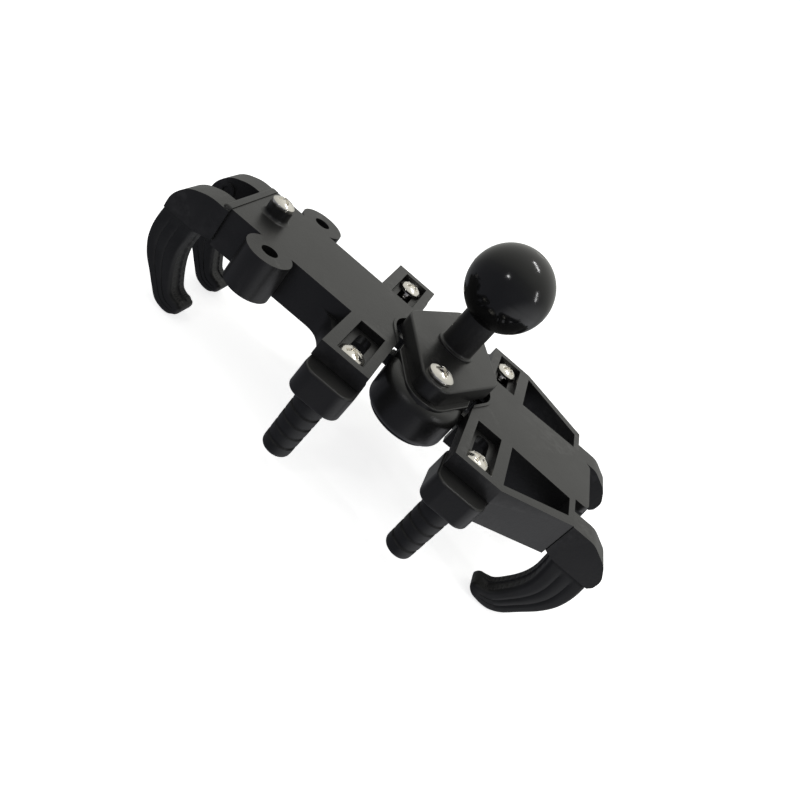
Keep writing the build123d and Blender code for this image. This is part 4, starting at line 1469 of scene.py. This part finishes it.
# ------------------------------------------------------------------ studio
@dataclass
class Studio:
    """Pale seamless floor, soft lights and the camera."""

    lens: float = 33.0075
    place_mm: Point = (-18.55, -199.40, 53.78)
    right: Point = (0.7607, 0.2435, 0.6016)
    up: Point = (-0.6447, 0.3909, 0.6569)
    look: Point = (0.0753, 0.8876, -0.4544)
    floor_drop: float = 0.2 * MM
    bright_side: Point = (0.05, 0.62, 0.78)
    room: tuple[tuple[float, Point], ...] = (
        (0.0, (0.19, 0.195, 0.225)),
        (0.42, (0.20, 0.205, 0.23)),
        (0.60, (0.26, 0.265, 0.27)),
        (0.78, (0.50, 0.505, 0.48)),
        (1.0, (0.80, 0.80, 0.76)),
    )
    window_side: Point = (0.84, -0.20, -0.50)
    window_edge: float = 0.55
    window_glow: float = 0.62

    def camera(self) -> None:
        """The camera at the view's angle."""
        data = bpy.data.cameras.new("camera")
        data.sensor_width = 36.0
        data.lens = self.lens
        data.clip_start, data.clip_end = 0.01, 50.0
        look = Vector(self.look).normalized()
        right = (Vector(self.right) - look * look.dot(Vector(self.right))).normalized()
        up = right.cross(look)
        camera = bpy.data.objects.new("camera", data)
        camera.matrix_world = Matrix.Translation(Vector(self.place_mm) * MM) @ Matrix(
            (
                (right.x, up.x, -look.x, 0),
                (right.y, up.y, -look.y, 0),
                (right.z, up.z, -look.z, 0),
                (0, 0, 0, 1),
            )
        )
        bpy.context.scene.collection.objects.link(camera)
        bpy.context.scene.camera = camera

    def floor(self) -> None:
        """A wide floor whose rim curves up."""
        base = CAD_BOX[0].z - self.floor_drop
        profile: list[Pair] = [(0.0, 0.0)] + [(r, 0.0) for r in (0.15, 0.4, 0.9, 1.6)]
        for i in range(1, 13):
            turn = math.pi / 2 * i / 12
            profile.append((1.6 + 1.4 * math.sin(turn), 1.4 - 1.4 * math.cos(turn)))
        mesh = lathe("seamless_floor", profile, (0, 0, base), 96)
        mesh.flip_normals()
        mesh.materials.append(StudioPaper().build())
        mesh.shade_smooth()
        floor = new_object("seamless_floor", mesh)
        floor.visible_glossy = False
        floor.visible_diffuse = False
        floor.visible_shadow = False

    def light(self, name: str, place: Point, aim: Point, size: Pair, power: float) -> None:
        """One soft box.

        Args:
            name: the light's name.
            place: where it stands.
            aim: what it points at.
            size: its width and height.
            power: watts.
        """
        data = bpy.data.lights.new(name, "AREA")
        data.shape = "RECTANGLE"
        data.size, data.size_y = size
        data.energy = power
        lamp = bpy.data.objects.new(name, data)
        lamp.location = place
        lamp.rotation_mode = "QUATERNION"
        lamp.rotation_quaternion = (Vector(aim) - Vector(place)).to_track_quat("-Z", "Y")
        bpy.context.scene.collection.objects.link(lamp)

    def surroundings(self) -> None:
        """A room that is bright overhead and behind the object, and dim towards the camera."""
        world = bpy.data.worlds.new("studio")
        world.use_nodes = True
        tree = world.node_tree
        where = add_node(tree, "ShaderNodeTexCoord").outputs["Generated"]

        def facing(side: Point) -> bpy.types.NodeSocket:
            """How far a direction turns towards a side, from -1 to 1."""
            dot = {"operation": "DOT_PRODUCT"}
            return add_node(tree, "ShaderNodeVectorMath", dot, {0: where, 1: side}).outputs["Value"]

        span = add_node(
            tree, "ShaderNodeMapRange", None, {"Value": facing(self.bright_side), "From Min": -1.0}
        )
        ramp = add_node(tree, "ShaderNodeValToRGB", {"stops": self.room}, {0: span.outputs[0]})
        pane = add_node(
            tree,
            "ShaderNodeMapRange",
            {"interpolation_type": "SMOOTHSTEP"},
            {
                "Value": facing(self.window_side),
                "From Min": self.window_edge,
                "To Max": self.window_glow,
            },
        )
        both = add_node(
            tree, "ShaderNodeVectorMath", {"operation": "ADD"}, {0: ramp.outputs[0], 1: pane.outputs[0]}
        )
        background = tree.nodes["Background"]
        feed(tree, background.inputs["Color"], both.outputs[0])
        feed(tree, background.inputs["Strength"], 1.0)
        bpy.context.scene.world = world

    def build(self) -> None:
        """Set up the whole studio."""
        self.camera()
        self.floor()
        self.surroundings()
        self.light("ceiling_box", (0.15, 0.25, 0.80), (0, 0, -0.03), (0.30, 0.05), 0.9)
        self.light("side_box", (0.80, -0.25, 0.45), (0, 0, -0.02), (0.04, 0.30), 0.7)
        self.light("front_box", (-0.45, -0.70, 0.55), (0, 0, -0.04), (0.10, 0.06), 0.5)
        settings = bpy.context.scene.view_settings
        settings.view_transform = "Standard"
        settings.look = "None"


# ------------------------------------------------------------------ assembly
LEFT_FINGER = (
    (15.6, -12.05, 4.9, -12.05),
    (16.0, -15.8, 5.3, -16.0),
    (16.0, -19.4, 5.6, -19.8),
    (15.2, -23.4, 5.1, -23.6),
    (13.2, -27.4, 4.0, -27.2),
    (10.4, -30.8, 2.7, -30.2),
    (7.6, -34.3, 1.6, -32.2),
    (5.0, -37.2, 0.6, -33.0),
    (2.2, -38.4, -0.5, -33.4),
    (-0.4, -38.5, -1.6, -33.6),
    (-2.2, -37.5, -2.4, -34.2),
)
RIGHT_FINGER = (
    (15.9, -12.05, 3.4, -12.05),
    (16.3, -16.0, 4.0, -16.0),
    (16.2, -19.8, 4.4, -20.5),
    (15.3, -23.8, 4.0, -24.0),
    (13.2, -27.9, 2.9, -27.2),
    (10.0, -32.1, 1.3, -30.2),
    (6.6, -36.4, 0.0, -32.2),
    (3.4, -38.4, -1.2, -33.3),
    (0.4, -38.8, -2.2, -33.6),
    (-2.2, -38.5, -3.3, -33.9),
)


def main() -> None:
    """Build every sub-assembly in order."""
    logging.basicConfig(level=logging.INFO, format="%(message)s")
    Studio().build()
    shop = Workshop()
    screws = ScrewShop(shop)
    BallBase(shop, screws).build()
    ClawArm(shop, screws, "left", -1, LEFT_FINGER, (-3.4, -35.6)).build()
    ClawArm(shop, screws, "right", 1, RIGHT_FINGER, (-5.8, -36.1)).build()
    LeftEnd(shop, screws).build()
    RightEnd(screws).build()
    for seed, corner in enumerate(("left_front", "left_rear", "right_front", "right_rear")):
        SlidingPost(shop, screws, corner, seed + 20).build()


if __name__ == "__main__":
    main()
